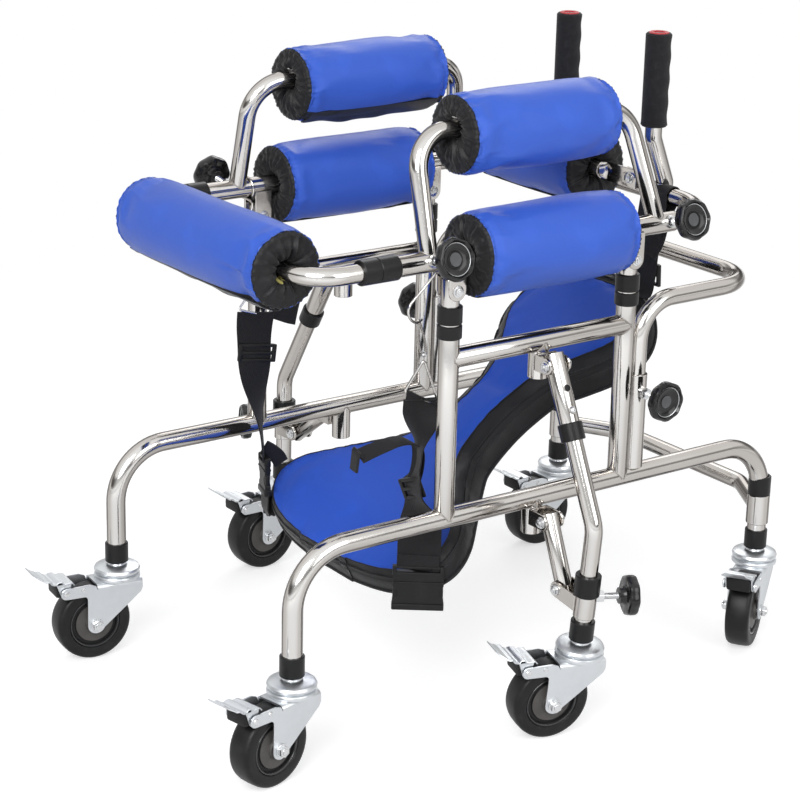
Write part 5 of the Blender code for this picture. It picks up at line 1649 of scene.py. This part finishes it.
    def flap(self, name, body, node):
        """The hook and loop flap over the closing gap, its free edge wavy and a little open."""
        across, along_count = 8, 60
        start = self.band - self.band_width * 0.42 / self.radius
        sweep = self.band_width * 0.94 / self.radius
        low, high = -self.half + 0.014, self.half - 0.014
        rows_up, rows_down = [], []
        for i in range(along_count + 1):
            t = i / along_count
            height = low + (high - low) * t
            wave = 0.5 + 0.5 * soft_wave(self.seed + 21, height * 22.0)
            open_by = self.gape * 0.0065 * max(0.05, wave) * math.sin(math.pi * min(1, max(0, t))) ** 0.35
            up, down = [], []
            for j in range(across + 1):
                s = j / across
                a = start + sweep * s
                lift = 0.0012 + open_by * smooth_step((s - 0.35) / 0.65) ** 1.2
                reach = self.radius + 0.0016 * (1 - (height / self.half) ** 2) + lift
                way = Vector((math.cos(a), math.sin(a), 0))
                up.append(way * (reach + 0.0007) + Vector((0, 0, height)))
                down.append(way * (reach - 0.0007) + Vector((0, 0, height)))
            rows_up.append(up)
            rows_down.append(down)
        rows = [[*up, *reversed(down)] for up, down in zip(rows_up, rows_down)]
        first = sum(rows[0], Vector()) / len(rows[0])
        last = sum(rows[-1], Vector()) / len(rows[-1])
        points, faces, _ = ring_shell(rows, first, last)
        width = self.radius * sweep
        spread = [width * j / across for j in range(across + 1)]
        uvs = []
        for i in range(along_count + 1):
            run = (high - low) * i / along_count
            uvs.extend((u, run) for u in [*spread, *reversed(spread)])
        uvs += [(0.0, 0.0), (0.0, high - low)]
        flap = Piece(name).add((points, faces, uvs), "black_cloth")
        made = flap.make(body, "pad_fabric", [node], self.where, 50)
        return made


class STAND_OT_pads(Maker):
    """Six padded rollers with drawn ends."""

    bl_idname = "stand.pads"
    bl_label = "Padded rollers"

    def pieces(self):
        made = []
        count, depth = sizes().fold_count, sizes().fold_depth
        for side, sign in SIDES.items():
            x = sign * HALF_TRACK
            away = 1 if side == "left" else -1
            ends = [(x, y, RING_Z) for y in SIDE_ROLLER_YS]
            roller = Roller(*ends, SIDE_ROLLER_R, TUBE_R, 0.0, count + 5, depth * 0.8,
                            3 + sign, 180 + sign * 4, 0.034, gape=2.6)
            made += roller.make(f"side_roller_{side}", "ring", f"side_pad_{side}")
            ends = [hoop_point(side, y, HOOP_RISE) for y in ARMPIT_ROLLER_YS]
            roller = Roller(*ends, SLIM_ROLLER_R, INNER_R, 0.007, count + 3, depth, 8 + sign,
                            180 - away * 35, 0.032, ((0, 24, "pale_cloth"), None))
            made += roller.make(f"armpit_roller_{side}", "ring", f"armpit_pad_{side}")
        ends = [(x, FRONT_ARM_Y, RING_Z) for x in FRONT_ROLLER_XS]
        roller = Roller(*ends, SLIM_ROLLER_R, INNER_R, 0.0,
                        13, depth * 1.35, 15, 158, 0.034, (None, (140, 22, "core_foam")), 1.7)
        made += roller.make("front_roller", "front_arm", "front_pad")
        ends = [(x, REAR_PAD_Y, REAR_PAD_Z) for x in (-REAR_ROLLER_HALF, REAR_ROLLER_HALF)]
        roller = Roller(*ends, REAR_ROLLER_R, INNER_R, 0.0, 16, depth, 19, 168, 0.032)
        made += roller.make("rear_roller", "ring", "rear_pad")
        return made


# Seat and straps

# Stations of the blue cloth from front to rear: y, z, half width, rise of each side over the
# middle, then how far the border reaches out and drops
SEAT_ROWS = (
    (-0.19, 0.179, 0.172, 0.002, 0.004, 0.034),
    (-0.16, 0.198, 0.172, 0.003, 0.01, 0.034),
    (-0.135, 0.218, 0.173, 0.004, 0.013, 0.034),
    (-0.11, 0.234, 0.16, 0.005, 0.015, 0.034),
    (-0.08, 0.25, 0.124, 0.005, 0.02, 0.036),
    (-0.05, 0.265, 0.086, 0.004, 0.024, 0.038),
    (-0.02, 0.279, 0.053, 0.002, 0.028, 0.038),
    (0.01, 0.294, 0.036, 0.001, 0.03, 0.038),
    (0.05, 0.322, 0.03, 0.0, 0.03, 0.04),
    (0.09, 0.348, 0.033, 0.0, 0.03, 0.04),
    (0.12, 0.37, 0.045, 0.0, 0.03, 0.04),
    (0.15, 0.389, 0.072, 0.002, 0.03, 0.042),
    (0.18, 0.408, 0.097, 0.003, 0.028, 0.044),
    (0.205, 0.424, 0.105, 0.003, 0.026, 0.04),
    (0.235, 0.444, 0.1, 0.002, 0.02, 0.022),
    (0.258, 0.46, 0.094, 0.0, 0.016, 0.002),
)


def seat_station(t):
    """All numbers of the seat at t from 0 at the front to 1 at the rear."""
    spot = t * (len(SEAT_ROWS) - 1)
    i = min(int(spot), len(SEAT_ROWS) - 2)
    s = spot - i
    rows = (SEAT_ROWS[min(max(k, 0), len(SEAT_ROWS) - 1)] for k in (i - 1, i, i + 1, i + 2))
    return [
        (2 * b + (c - a) * s + (2 * a - 5 * b + 4 * c - d) * s**2 + (3 * b - a - 3 * c + d) * s**3) / 2
        for a, b, c, d in zip(*rows)
    ]


def rounded(run, length, least):
    """How much of its full width a rounded end has at run from its tip."""
    left = min(1.0, max(0.0, 1 - run / length))
    return max(least, (1 - left**2.3) ** (1 / 2.3))


def seat_point(t, share):
    """A point of the blue cloth, whose two ends are rounded."""
    y, z, half, rise, _, _ = seat_station(t)
    full = half
    half *= rounded(y - SEAT_ROWS[0][0], 0.055, 0.3) * rounded(SEAT_ROWS[-1][0] - y, 0.05, 0.34)
    x = half * share
    return Vector((x, y, z + rise * ((x / full) ** 2 - 1)))


class SeatShape:
    """The seat's cloth as a sheet: blue rows, then a border that folds down all round them."""

    ROWS, ACROSS, BORDER = 96, 28, 9

    def __init__(self):
        steps = [i / self.ROWS for i in range(self.ROWS + 1)]
        ts = [s - 0.08 * math.sin(2 * math.pi * s) for s in steps]
        self.points, self.faces, self.looks, self.kinds = [], [], [], []
        shares = [2 * j / self.ACROSS - 1 for j in range(self.ACROSS + 1)]
        grid = [[self.put(seat_point(t, share), "blue") for share in shares] for t in ts]
        for one, other in zip(grid, grid[1:]):
            for a, b, c, d in zip(one, one[1:], other[1:], other):
                self.faces.append((a, b, c, d))
                self.looks.append("seat_cloth")
        left = [(grid[i][0], ts[i]) for i in range(self.ROWS, 0, -1)]
        front = [(i, 0.0) for i in grid[0]]
        right = [(grid[i][-1], ts[i]) for i in range(1, self.ROWS + 1)]
        rear = [(i, 1.0) for i in reversed(grid[-1][1:-1])]
        loop = left + front + right + rear
        self.outline = [i for i, _ in loop]
        self.border = self.fold([seat_station(t) for _, t in loop])

    def put(self, point, kind):
        self.points.append(point)
        self.kinds.append(kind)
        return len(self.points) - 1

    def fold(self, stations):
        """Rows of the border, from the blue edge outwards and down."""
        count = len(self.outline)
        line = [self.points[i] for i in self.outline]
        rows = [list(self.outline)]
        for j in range(1, self.BORDER + 1):
            s = j / self.BORDER
            bend = s * math.pi / 2
            row = []
            for i, (point, station) in enumerate(zip(line, stations)):
                way = (line[(i + 3) % count] - line[i - 3]).normalized()
                up = self.normal_at(i)
                out = way.cross(up).normalized()
                wave = 0.002 * soft_wave(31, i * 0.07, s * 0.8) * s
                reach, drop = station[4:]
                fall = 0.45 * s + 0.55 * (1 - math.cos(bend))
                step = out * (reach * math.sin(bend) + wave) - up * drop * fall
                row.append(self.put(point + step, "border"))
            rows.append(row)
        for one, other in zip(rows, rows[1:]):
            for i in range(count):
                k = (i + 1) % count
                self.faces.append((one[i], other[i], other[k], one[k]))
                self.looks.append("black_cloth")
        return rows

    def normal_at(self, i):
        """The cloth's upward way at a point of the outline."""
        y = self.points[self.outline[i]].y
        middles = [self.points[k * (self.ACROSS + 1) + self.ACROSS // 2] for k in range(self.ROWS + 1)]
        k = min(range(1, self.ROWS), key=lambda k: abs(middles[k].y - y))
        return Vector((1, 0, 0)).cross(middles[k + 1] - middles[k - 1]).normalized()

    def closed(self, thickness):
        """The sheet with its thickness, as a closed shell, with holds and finishes."""
        data = bmesh.new()
        knots = [data.verts.new(point) for point in self.points]
        for face in self.faces:
            data.faces.new([knots[i] for i in face])
        data.normal_update()
        normals = [knot.normal.copy() for knot in knots]
        data.free()
        flip = -1 if normals[len(normals) // 3].z < 0 else 1
        count = len(self.points)
        depth = [thickness if kind == "blue" else thickness * 0.6 for kind in self.kinds]
        points = self.points + [p - n * flip * d for p, n, d in zip(self.points, normals, depth)]
        faces = list(self.faces) + [tuple(count + i for i in reversed(face)) for face in self.faces]
        looks = list(self.looks) + ["black_cloth"] * len(self.faces)
        edges = {}
        for face in self.faces:
            for a, b in zip(face, face[1:] + face[:1]):
                key = (min(a, b), max(a, b))
                edges[key] = None if key in edges else (a, b)
        for edge in edges.values():
            if edge is not None:
                a, b = edge
                faces.append((b, a, count + a, count + b))
                looks.append("binding")
        rim = {i for row in self.border[-2:] for i in row} | set(self.outline)
        held = [(0.7 if i in rim else 0.12 if kind == "border" else 0.0) for i, kind in enumerate(self.kinds)]
        held += [1.0] * count
        uvs = [(p.x, p.y * 0.6 + p.z * 0.8) for p in points]
        return (points, faces, uvs), held, looks

    def border_line(self, share, points, lift):
        """A closed line along the border, at a share of its width, lifted off the cloth."""
        spot = share * self.BORDER
        j = min(int(spot), self.BORDER - 1)
        one, other = ([points[i] for i in row] for row in self.border[j : j + 2])
        line = [a.lerp(b, spot - j) for a, b in zip(one, other)]
        ways = [(b - a).normalized() for a, b in zip(one, other)]
        raised = []
        for i, (point, across) in enumerate(zip(line, ways)):
            way = line[(i + 1) % len(line)] - line[i - 1]
            raised.append(point + way.cross(across).normalized() * -lift)
        return [*raised, raised[0]], [*ways, ways[0]]


def stitches(line, length, gap, radius=0.00045):
    """Short raised stitches along a line of points."""
    line = [Vector(point) for point in line]
    shells, run, marks = [], 0.0, [0.0]
    for one, other in zip(line, line[1:]):
        marks.append(marks[-1] + (other - one).length)

    def at(run):
        k = max(0, min(len(line) - 2, int(np.searchsorted(marks, run)) - 1))
        span = max(marks[k + 1] - marks[k], 1e-9)
        return line[k].lerp(line[k + 1], min(1.0, (run - marks[k]) / span))

    while run + length < marks[-1]:
        a, b = at(run), at(run + length)
        if (b - a).length > length * 0.3:
            shares = ((0.0, 1.0), (0.8, 0.93), (1.0, 0.5), (0.8, 0.07), (0.0, 0.0))
            profile = [(radius * out, length * up) for out, up in shares]
            shells.append(moved(turned(profile, 6), along(a, b)))
        run += length + gap
    return merged(*shells)


class STAND_OT_seat(Maker):
    """The hanging seat: blue padded cloth in a black stitched border."""

    bl_idname = "stand.seat"
    bl_label = "Seat"

    def pieces(self):
        shape = SeatShape()
        shell, held, looks = shape.closed(0.006)
        shell = blown(shell, held, 1.6, 0.012, 0.0035)
        seat = Piece("seat_cloth").add(shell, looks)
        made = seat.make("ring", "pad_fabric", ["seat_sling"], None, 60)
        points = shell[0]
        trim = Piece("seat_border_trim")
        line, across = shape.border_line(0.47, points, 0.001)
        trim.add(strip(line, across, 0.0062, 0.0016, 2, 0.0005), "binding")
        hem, _ = shape.border_line(0.985, points, 0.0)
        trim.add(closed_tube(hem, 0.0023, 10), "binding")
        edge, _ = shape.border_line(0.02, points, 0.0002)
        trim.add(closed_tube(edge, 0.0011, 8), "binding")
        for share in (0.36, 0.58):
            row, _ = shape.border_line(share, points, 0.0004)
            trim.add(stitches(row, sizes().stitch, 0.0014), "thread")
        return [made, trim.make("ring", "webbing", ["seat_sling"])]


def triangle_ring(corners, radius, bend=0.006):
    """A closed wire triangle with rounded corners."""
    corners = [Vector(corner) for corner in corners]
    line = []
    for i, corner in enumerate(corners):
        before, after = corners[i - 1], corners[(i + 1) % 3]
        start = corner + (before - corner).normalized() * bend
        end = corner + (after - corner).normalized() * bend
        for k in range(9):
            t = k / 8
            line.append(start * (1 - t) ** 2 + corner * 2 * t * (1 - t) + end * t * t)
    return looped_tube(line, radius, 12)


def frame_at(centre, across, down):
    """A frame at centre with X across and -Z down the strap."""
    x = Vector(across).normalized()
    z = -(Vector(down) - x * Vector(down).dot(x)).normalized()
    return Matrix.Translation(centre) @ Matrix((x, z.cross(x), z)).transposed().to_4x4()


def ladder_lock(width, height=0.024, thick=0.0042):
    """A moulded slide: two side rails and three bars."""
    shells = []
    half = width / 2 + 0.003
    for sign in (-1, 1):
        low = (sign * half - 0.0028, -thick / 2, -height / 2)
        high = (sign * half + 0.0028, thick / 2, height / 2)
        shells.append(box(low, high, 0.0014))
    for z, deep in ((-height / 2 + 0.002, 0.0034), (0.0, 0.0042), (height / 2 - 0.002, 0.0034)):
        shells.append(box((-half, -deep / 2, z - 0.0022), (half, deep / 2 + 0.0012, z + 0.0022), 0.001))
    return merged(*shells)


def side_buckle(width, height, thick):
    """A side-release buckle: socket, prongs in its two side windows, and a bar for each strap."""
    w, h = width / 2, height / 2
    outline = [
        (-w + 0.003, -h), (w - 0.003, -h), (w, -h + 0.003), (w, -h + 0.012), (w - 0.0015, -h + 0.015),
        (w - 0.0055, -h + 0.018), (w - 0.006, -h + 0.023), (w - 0.0015, -h + 0.027), (w, -h + 0.031),
        (w, h - 0.01), (w - 0.002, h - 0.008), (-w + 0.002, h - 0.008), (-w, h - 0.01), (-w, -h + 0.031),
        (-w + 0.0015, -h + 0.027), (-w + 0.006, -h + 0.023), (-w + 0.0055, -h + 0.018),
        (-w + 0.0015, -h + 0.015), (-w, -h + 0.012), (-w, -h + 0.003),
    ]
    shells = [sheet_plate(outline, thick * 0.72, 0.0011)]
    shells.append(box((-w - 0.0006, -thick / 2, -h - 0.001), (w + 0.0006, thick / 2, -h + 0.0075), 0.0016))
    for trim, deep, low, high, edge in (
        (0.001, 0.46, -h + 0.0335, -h + 0.0365, 0.0009),
        (0.0005, 0.44, h - 0.0095, h - 0.005, 0.0014),
    ):
        shells.append(box((trim - w, -thick * deep, low), (w - trim, thick * deep, high), edge))
    for sign in (-1, 1):
        inner, outer = sorted((sign * (w - 0.0075), sign * (w - 0.0005)))
        shells.append(box((inner, -thick * 0.3, -h + 0.013), (outer, thick * 0.3, -h + 0.0295), 0.0016))
        inner, outer = sorted((sign * (w - 0.005), sign * w))
        shells.append(box((inner, -thick * 0.42, h - 0.01), (outer, thick * 0.42, h + 0.0015), 0.0013))
    low, high = (-w + 0.0005, -thick * 0.34, h - 0.0012), (w - 0.0005, thick * 0.34, h + 0.0022)
    shells.append(box(low, high, 0.001))
    return merged(*shells)


def mm(*values):
    return Vector(values) / 1000


class STAND_OT_front_straps(Maker):
    """The two front straps with their wire hooks, rings, slides and buckles."""

    bl_idname = "stand.front_straps"
    bl_label = "Front straps"

    def pieces(self):
        return [*self.right(), *self.left()]

    def parts(self, web, plastic, wire):
        return [
            web.make("ring", "webbing", ["seat_sling"]),
            plastic.make("ring", "knob_plastic", ["seat_sling"]),
            wire.make("ring", "zinc", ["seat_sling"], None, 60),
        ]

    def hook(self, wire, sign, apex):
        """The wire hook over the ring's tube, down to a wire loop at apex."""
        turn = 0.0139
        line = []
        for i in range(15):
            a = math.radians(-150 + 285 * i / 14)
            x = sign * (HALF_TRACK + turn * math.sin(a) * -1)
            line.append(Vector((x, -0.176 + 0.0004 * i, RING_Z + turn * math.cos(a))))
        lower = [mm(sign * 197, -171, 578), mm(sign * 190, -182, 560), mm(sign * 188, -200, 541),
                 mm(sign * 187, -199, 527),
                 mm(sign * 184, -187, 518), mm(sign * 181, -176, 520)]
        drop = smooth_line([line[0] + Vector((0, 0, -0.001)), *lower], 60)
        wire.add(closed_tube(drop, 0.0016, 12), "plating")
        wire.add(closed_tube(smooth_line(line, 60), 0.0016, 12), "plating")
        top = mm(sign * 183, -184, 521)
        low = apex + Vector((0, 0, 0.004))
        way = (low - top).normalized()
        across = Vector((sign * 0.25, 0.8, 0.3))
        across = (across - way * across.dot(way)).normalized()
        loop = []
        for i in range(40):
            a = 2 * math.pi * i / 40
            wide = 0.0038 + 0.0012 * math.cos(a)
            up = way * math.cos(a) * (low - top).length / 2
            loop.append((top + low) / 2 + up + across * wide * math.sin(a))
        wire.add(looped_tube(loop, 0.0015, 10), "plating")
        wire.add(band_ring(low - way * 0.006, low - way * 0.002, 0.0034, 0.0012, 16, 0.0005), "bright_zinc")

    def right(self):
        web, plastic, wire = (Piece(f"front_strap_right_{part}") for part in ("web", "buckles", "wire"))
        apex, left, right = mm(165, -160, 464), mm(155, -181, 424), mm(170, -139, 404)
        self.hook(wire, 1, apex)
        wire.add(triangle_ring((apex, left, right), 0.0018), "plating")
        facing = Vector((0.6, 0.8, 0.0))
        top = (left + right) / 2
        path = [top + mm(0, 0, 1), mm(161, -159, 392), mm(160, -161, 365), mm(159, -160, 337),
                mm(160, -165, 318), mm(160, -169, 303), mm(162, -158, 268), mm(163, -158, 235),
                mm(164, -159, 212), mm(165, -160, 199)]
        line = smooth_line(path, 72)
        tilt = (right - left).normalized()
        across, widths = [], []
        for i in range(72):
            t = i / 71
            turn = 78 * smooth_step(t / 0.3) - 18 * smooth_step((t - 0.4) / 0.12)
            turn -= 60 * smooth_step((t - 0.55) / 0.28)
            turn = math.radians(turn)
            base = tilt.lerp(facing, smooth_step(t / 0.35)).normalized()
            down = (line[min(71, i + 1)] - line[max(0, i - 1)]).normalized()
            across.append(Matrix.Rotation(turn, 3, down) @ base)
            pinch = math.exp(-((t - 0.36) / 0.1) ** 2)
            widths.append(0.044 + 0.008 * smooth_step((t - 0.5) / 0.3) - 0.01 * pinch)
        web.add(strip(line, across, widths, 0.0017, 8, 0.0006), "webbing")
        turns = ((1.6, -1.2, -1), (2.4, -2.0, 1.0), (1.2, -1.0, 2.6), (-0.6, 0.6, 1.6))
        fold = [top + mm(*turn) for turn in turns]
        web.add(strip(smooth_line(fold, 10), tilt, 0.04, 0.0016, 4), "webbing")
        tail = [mm(157, -167, 300), mm(158, -160, 328), mm(157, -160, 350), mm(156, -173, 361),
                mm(155, -190, 364), mm(155, -208, 362), mm(154, -228, 358), mm(153, -243, 354)]
        tail_line = smooth_line(tail, 48)
        first, last = Vector((0.93, 0.25, 0.28)), Vector((0.8, -0.1, -0.6))
        lean = [first.lerp(last, i / 47).normalized() for i in range(48)]
        web.add(strip(tail_line, lean, 0.02, 0.0017, 6, 0.0004), "webbing")
        end = [mm(153, -241, 356), mm(154, -247, 362), mm(154, -249, 352), mm(153, -250, 338)]
        web.add(strip(smooth_line(end, 14), (0.8, -0.1, -0.2), 0.015, 0.0034, 4), "webbing")
        lock = frame_at(mm(160, -169, 302), (0.8, 0.1, 0.3), (0.0, 0.15, -1))
        plastic.add(moved(ladder_lock(0.026, 0.026), lock), "buckle")
        seat = frame_at(mm(165, -160, 172), facing, (0, 0, -1))
        plastic.add(moved(side_buckle(0.063, 0.054, 0.013), seat), "buckle")
        lower = [mm(164, -159, 150), mm(161, -157, 148), mm(157, -154, 152), mm(152, -150, 160)]
        web.add(strip(smooth_line(lower, 16), facing, 0.048, 0.0018, 6), "webbing")
        over = [mm(165, -160.5, 214), mm(166.5, -162, 206), mm(166.5, -162, 199)]
        web.add(strip(smooth_line(over, 8), facing, 0.05, 0.002, 6), "webbing")
        return self.parts(web, plastic, wire)

    def left(self):
        web, plastic, wire = (Piece(f"front_strap_left_{part}") for part in ("web", "buckles", "wire"))
        apex = mm(-167, -178, 486)
        left, right = mm(-166, -211, 450), mm(-166, -158, 432)
        self.hook(wire, -1, apex)
        wire.add(triangle_ring((apex, left, right), 0.0016), "bright_zinc")
        facing = Vector((0.25, 0.95, -0.1)).normalized()
        top = (left + right) / 2
        path = [top + mm(0, 0, 2), mm(-167, -186, 420), mm(-167, -186, 390), mm(-167, -184, 350),
                mm(-166, -179, 310), mm(-166, -174, 268), mm(-165, -172, 240)]
        line = smooth_line(path, 72)
        across, widths = [], []
        for i in range(72):
            t = i / 71
            turn = math.radians(-70) * smooth_step((t - 0.26) / 0.58)
            down = (line[min(71, i + 1)] - line[max(0, i - 1)]).normalized()
            across.append(Matrix.Rotation(turn, 3, down) @ facing)
            widths.append(0.049 - 0.005 * smooth_step(t / 0.25) - 0.011 * smooth_step((t - 0.3) / 0.5))
        web.add(strip(line, across, widths, 0.0017, 8, 0.0006), "webbing")
        lock = frame_at(mm(-165, -183, 388), facing, (0, 0.02, -1))
        plastic.add(moved(ladder_lock(0.04, 0.024, 0.005), lock), "buckle")
        flag = [mm(-168, -160, 447), mm(-169, -146, 441), mm(-170, -130, 434), mm(-170, -118, 430)]
        web.add(strip(smooth_line(flag, 18), (0.1, -0.3, -0.95), 0.03, 0.0017, 6, 0.0005), "webbing")
        small = frame_at(mm(-164, -171, 218), (0.8, -0.25, 0), (0, 0.02, -1))
        plastic.add(moved(side_buckle(0.032, 0.05, 0.011), small), "buckle")
        flap = [mm(-165, -172, 256), mm(-164, -163, 250), mm(-163, -152, 240), mm(-163, -146, 230)]
        web.add(strip(smooth_line(flap, 14), (0.2, 0.7, 0.7), 0.019, 0.0028, 4), "webbing")
        lower = [mm(-163, -170, 196), mm(-163, -171, 184), mm(-160, -172, 172), mm(-155, -170, 162)]
        web.add(strip(smooth_line(lower, 20), (0.8, -0.25, 0), 0.032, 0.002, 6), "webbing")
        end = [mm(-165, -164, 192), mm(-168, -162, 174), mm(-168, -161, 158)]
        web.add(strip(smooth_line(end, 12), (0.8, 0.2, 0), 0.02, 0.0018, 6), "webbing")
        return self.parts(web, plastic, wire)


class STAND_OT_rear_straps(Maker):
    """The two rear straps from the rear arm down to the seat's back."""

    bl_idname = "stand.rear_straps"
    bl_label = "Rear straps"

    def pieces(self):
        made = []
        for side, sign in SIDES.items():
            node = f"rear_strap_{side}"
            web, plastic = Piece(f"{node}_web"), Piece(f"{node}_slide")
            x = sign * HANDLE_X
            low = Vector((sign * 0.066, 0.266, 0.468))
            grip = INNER_R + 0.0016
            tube_front = Vector((x, REAR_ARM_Y - grip, RING_Z))
            line = [low + Vector((0, -0.01, -0.012)), low, low.lerp(tube_front, 0.5)]
            line += [
                Vector((x, REAR_ARM_Y + grip * math.cos(a), RING_Z + grip * math.sin(a)))
                for a in (math.radians(200 - 250 * i / 10) for i in range(11))
            ]
            line += [
                Vector((x, REAR_ARM_Y - 0.004, RING_Z - 0.034)),
                Vector((x - sign * 0.002, 0.262, RING_Z - 0.06)),
                Vector((x - sign * 0.006, 0.254, RING_Z - 0.078)),
            ]
            path = smooth_line(line, 90)
            web.add(strip(path, (1, 0, 0.0), sizes().webbing, 0.0018, 8, 0.0004), "webbing")
            band = web.make("ring", "webbing", [node])
            band.parent = None
            band.matrix_world = SHIFT
            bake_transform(band)
            way = tube_front - low
            slide = frame_at(low + way * 0.16 + Vector((0, 0.004, 0.0)), (1, 0, 0), -way)
            plastic.add(moved(ladder_lock(sizes().webbing, 0.03, 0.005), slide), "buckle")
            made += [band, plastic.make("ring", "knob_plastic", [node])]
        return made


# Stage


class STAND_OT_stage(bpy.types.Operator):
    """A pale floor, soft studio light and the camera."""

    bl_idname = "stand.stage"
    bl_label = "Stage"
    bl_options = {"REGISTER", "UNDO"}

    def execute(self, context):
        scene = context.scene
        scene.view_settings.view_transform = "Standard"
        self.floor(scene)
        self.lamps(scene)
        self.world(scene)
        self.camera(scene)
        return {"FINISHED"}

    def floor(self, scene):
        turns = [math.pi * j / 24 for j in range(48)]
        rows = [
            [Vector((reach * math.cos(a), reach * math.sin(a), 0.0)) for a in turns]
            for reach in (0.4, 1.5, 9.0)
        ]
        points, faces, _ = ring_shell(rows)
        faces.append(tuple(range(48)))
        mesh = bpy.data.meshes.new("floor")
        mesh.from_pydata([tuple(point) for point in points], [], faces)
        made = Finish("floor_paper", (0.66, 0.66, 0.66), 0.9)
        made.feed("Specular IOR Level", 0.05)
        tree = made.tree
        camera = made.node("LightPath", out="Is Camera Ray")
        glossy = made.node("LightPath", out="Is Glossy Ray")
        x, y, _ = made.parts(made.place())
        reach = (x * x + y * y) ** 0.5
        near, far = (tree.nodes.new("ShaderNodeEmission") for _ in range(2))
        near.inputs["Strength"].default_value = 0.56
        both = tree.nodes.new("ShaderNodeAddShader")
        tree.links.new(made.shader.outputs[0], both.inputs[0])
        tree.links.new(near.outputs[0], both.inputs[1])
        lower = made.shader
        for share, upper in ((camera + glossy * 0.5, both), (camera * reach.step(0.9, 2.0), far)):
            blend = tree.nodes.new("ShaderNodeMixShader")
            tree.links.new(share.socket, blend.inputs[0])
            tree.links.new(lower.outputs[0], blend.inputs[1])
            tree.links.new(upper.outputs[0], blend.inputs[2])
            lower = blend
        tree.links.new(lower.outputs[0], tree.nodes["Material Output"].inputs["Surface"])
        mesh.materials.append(made.material)
        data = bmesh.new()
        data.from_mesh(mesh)
        bmesh.ops.recalc_face_normals(data, faces=data.faces)
        if data.faces[0].normal.z < 0:
            bmesh.ops.reverse_faces(data, faces=data.faces)
        data.to_mesh(mesh)
        data.free()
        thing = bpy.data.objects.new("floor", mesh)
        scene.collection.objects.link(thing)
        return thing

    def lamps(self, scene):
        target = Vector((0.0, 0.0, 0.4))
        for name, place, size, power in (
            ("key_softbox", (2.2, -3.0, 2.7), 2.4, 118.0),
            ("fill_softbox", (3.4, 0.6, 1.9), 2.2, 36.0),
            ("back_softbox", (-2.6, 2.6, 2.8), 2.4, 40.0),
        ):
            lamp = bpy.data.lights.new(name, "AREA")
            lamp.shape = "SQUARE"
            lamp.size = size
            lamp.energy = power
            thing = bpy.data.objects.new(name, lamp)
            scene.collection.objects.link(thing)
            thing.location = place
            thing.rotation_euler = (target - Vector(place)).to_track_quat("-Z", "Y").to_euler()

    def world(self, scene):
        world = bpy.data.worlds.new("studio")
        scene.world = world
        world.use_nodes = True
        tree = world.node_tree
        room = Finish.__new__(Finish)
        room.tree = tree
        back = tree.nodes["Background"]
        paths = tree.nodes.new("ShaderNodeLightPath")
        glossy = Value(room, paths.outputs["Is Glossy Ray"])
        camera = Value(room, paths.outputs["Is Camera Ray"])
        x, y, z = room.parts(room.place("Generated"))
        round_way = y.math("ARCTAN2", y, x)
        wave = (round_way * 3.0 + 0.8).math("SINE", round_way * 3.0 + 0.8)
        height = z + wave * 0.03
        dark = height.step(0.05, 0.12) * (1 - height.step(0.3, 0.42))
        dark = dark * (0.72 + wave * 0.28)
        soft = room.mix(dark, (1.0, 1.0, 1.0, 1.0), (0.1, 0.095, 0.09, 1.0))
        lit = room.mix(glossy, (0.44, 0.44, 0.445, 1.0), soft)
        shown = room.mix(camera, lit, (1.0, 1.0, 1.0, 1.0))
        tree.links.new(shown.socket, back.inputs["Color"])
        back.inputs["Strength"].default_value = 1.0

    def camera(self, scene):
        yaw, pitch, roll = (math.radians(a) for a in (53.778, 18.504, 1.39))
        run = math.cos(pitch)
        forward = Vector((-math.sin(yaw) * run, math.cos(yaw) * run, -math.sin(pitch)))
        level = Vector((math.cos(yaw), math.sin(yaw), 0))
        upright = level.cross(forward)
        right = level * math.cos(roll) + upright * math.sin(roll)
        up = upright * math.cos(roll) - level * math.sin(roll)
        lens = bpy.data.cameras.new("photo_camera")
        lens.sensor_width = 36
        lens.lens = 104.98
        eye = bpy.data.objects.new("photo_camera", lens)
        scene.collection.objects.link(eye)
        turn = Matrix((right, up, -forward)).transposed().to_4x4()
        eye.matrix_world = SHIFT @ Matrix.Translation((2.26827, -1.73441, 1.29196)) @ turn
        scene.camera = eye


OPERATORS = (
    STAND_OT_side_frames,
    STAND_OT_cross_bar,
    STAND_OT_outriggers,
    STAND_OT_casters,
    STAND_OT_knobs,
    STAND_OT_ring,
    STAND_OT_arms,
    STAND_OT_grips,
    STAND_OT_pads,
    STAND_OT_seat,
    STAND_OT_front_straps,
    STAND_OT_rear_straps,
    STAND_OT_stage,
)


class STAND_PT_panel(bpy.types.Panel):
    """Lists the standing frame's makers and its settings."""

    bl_idname = "STAND_PT_panel"
    bl_label = "Standing frame"
    bl_space_type = "VIEW_3D"
    bl_region_type = "UI"
    bl_category = "Standing frame"

    def draw(self, context):
        for maker in OPERATORS:
            self.layout.operator(maker.bl_idname)
        for group in (context.scene.stand_colours, context.scene.stand_sizes):
            for name in group.__annotations__:
                self.layout.prop(group, name)


def register():
    for part in (STAND_PG_colours, STAND_PG_sizes, *OPERATORS, STAND_PT_panel):
        bpy.utils.register_class(part)
    bpy.types.Scene.stand_colours = bpy.props.PointerProperty(type=STAND_PG_colours)
    bpy.types.Scene.stand_sizes = bpy.props.PointerProperty(type=STAND_PG_sizes)


def unregister():
    del bpy.types.Scene.stand_sizes
    del bpy.types.Scene.stand_colours
    for part in (STAND_PT_panel, *reversed(OPERATORS), STAND_PG_sizes, STAND_PG_colours):
        bpy.utils.unregister_class(part)


def main():
    register()
    for maker in OPERATORS:
        group, name = maker.bl_idname.split(".")
        getattr(getattr(bpy.ops, group), name)()
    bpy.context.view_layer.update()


if __name__ == "__main__":
    main()
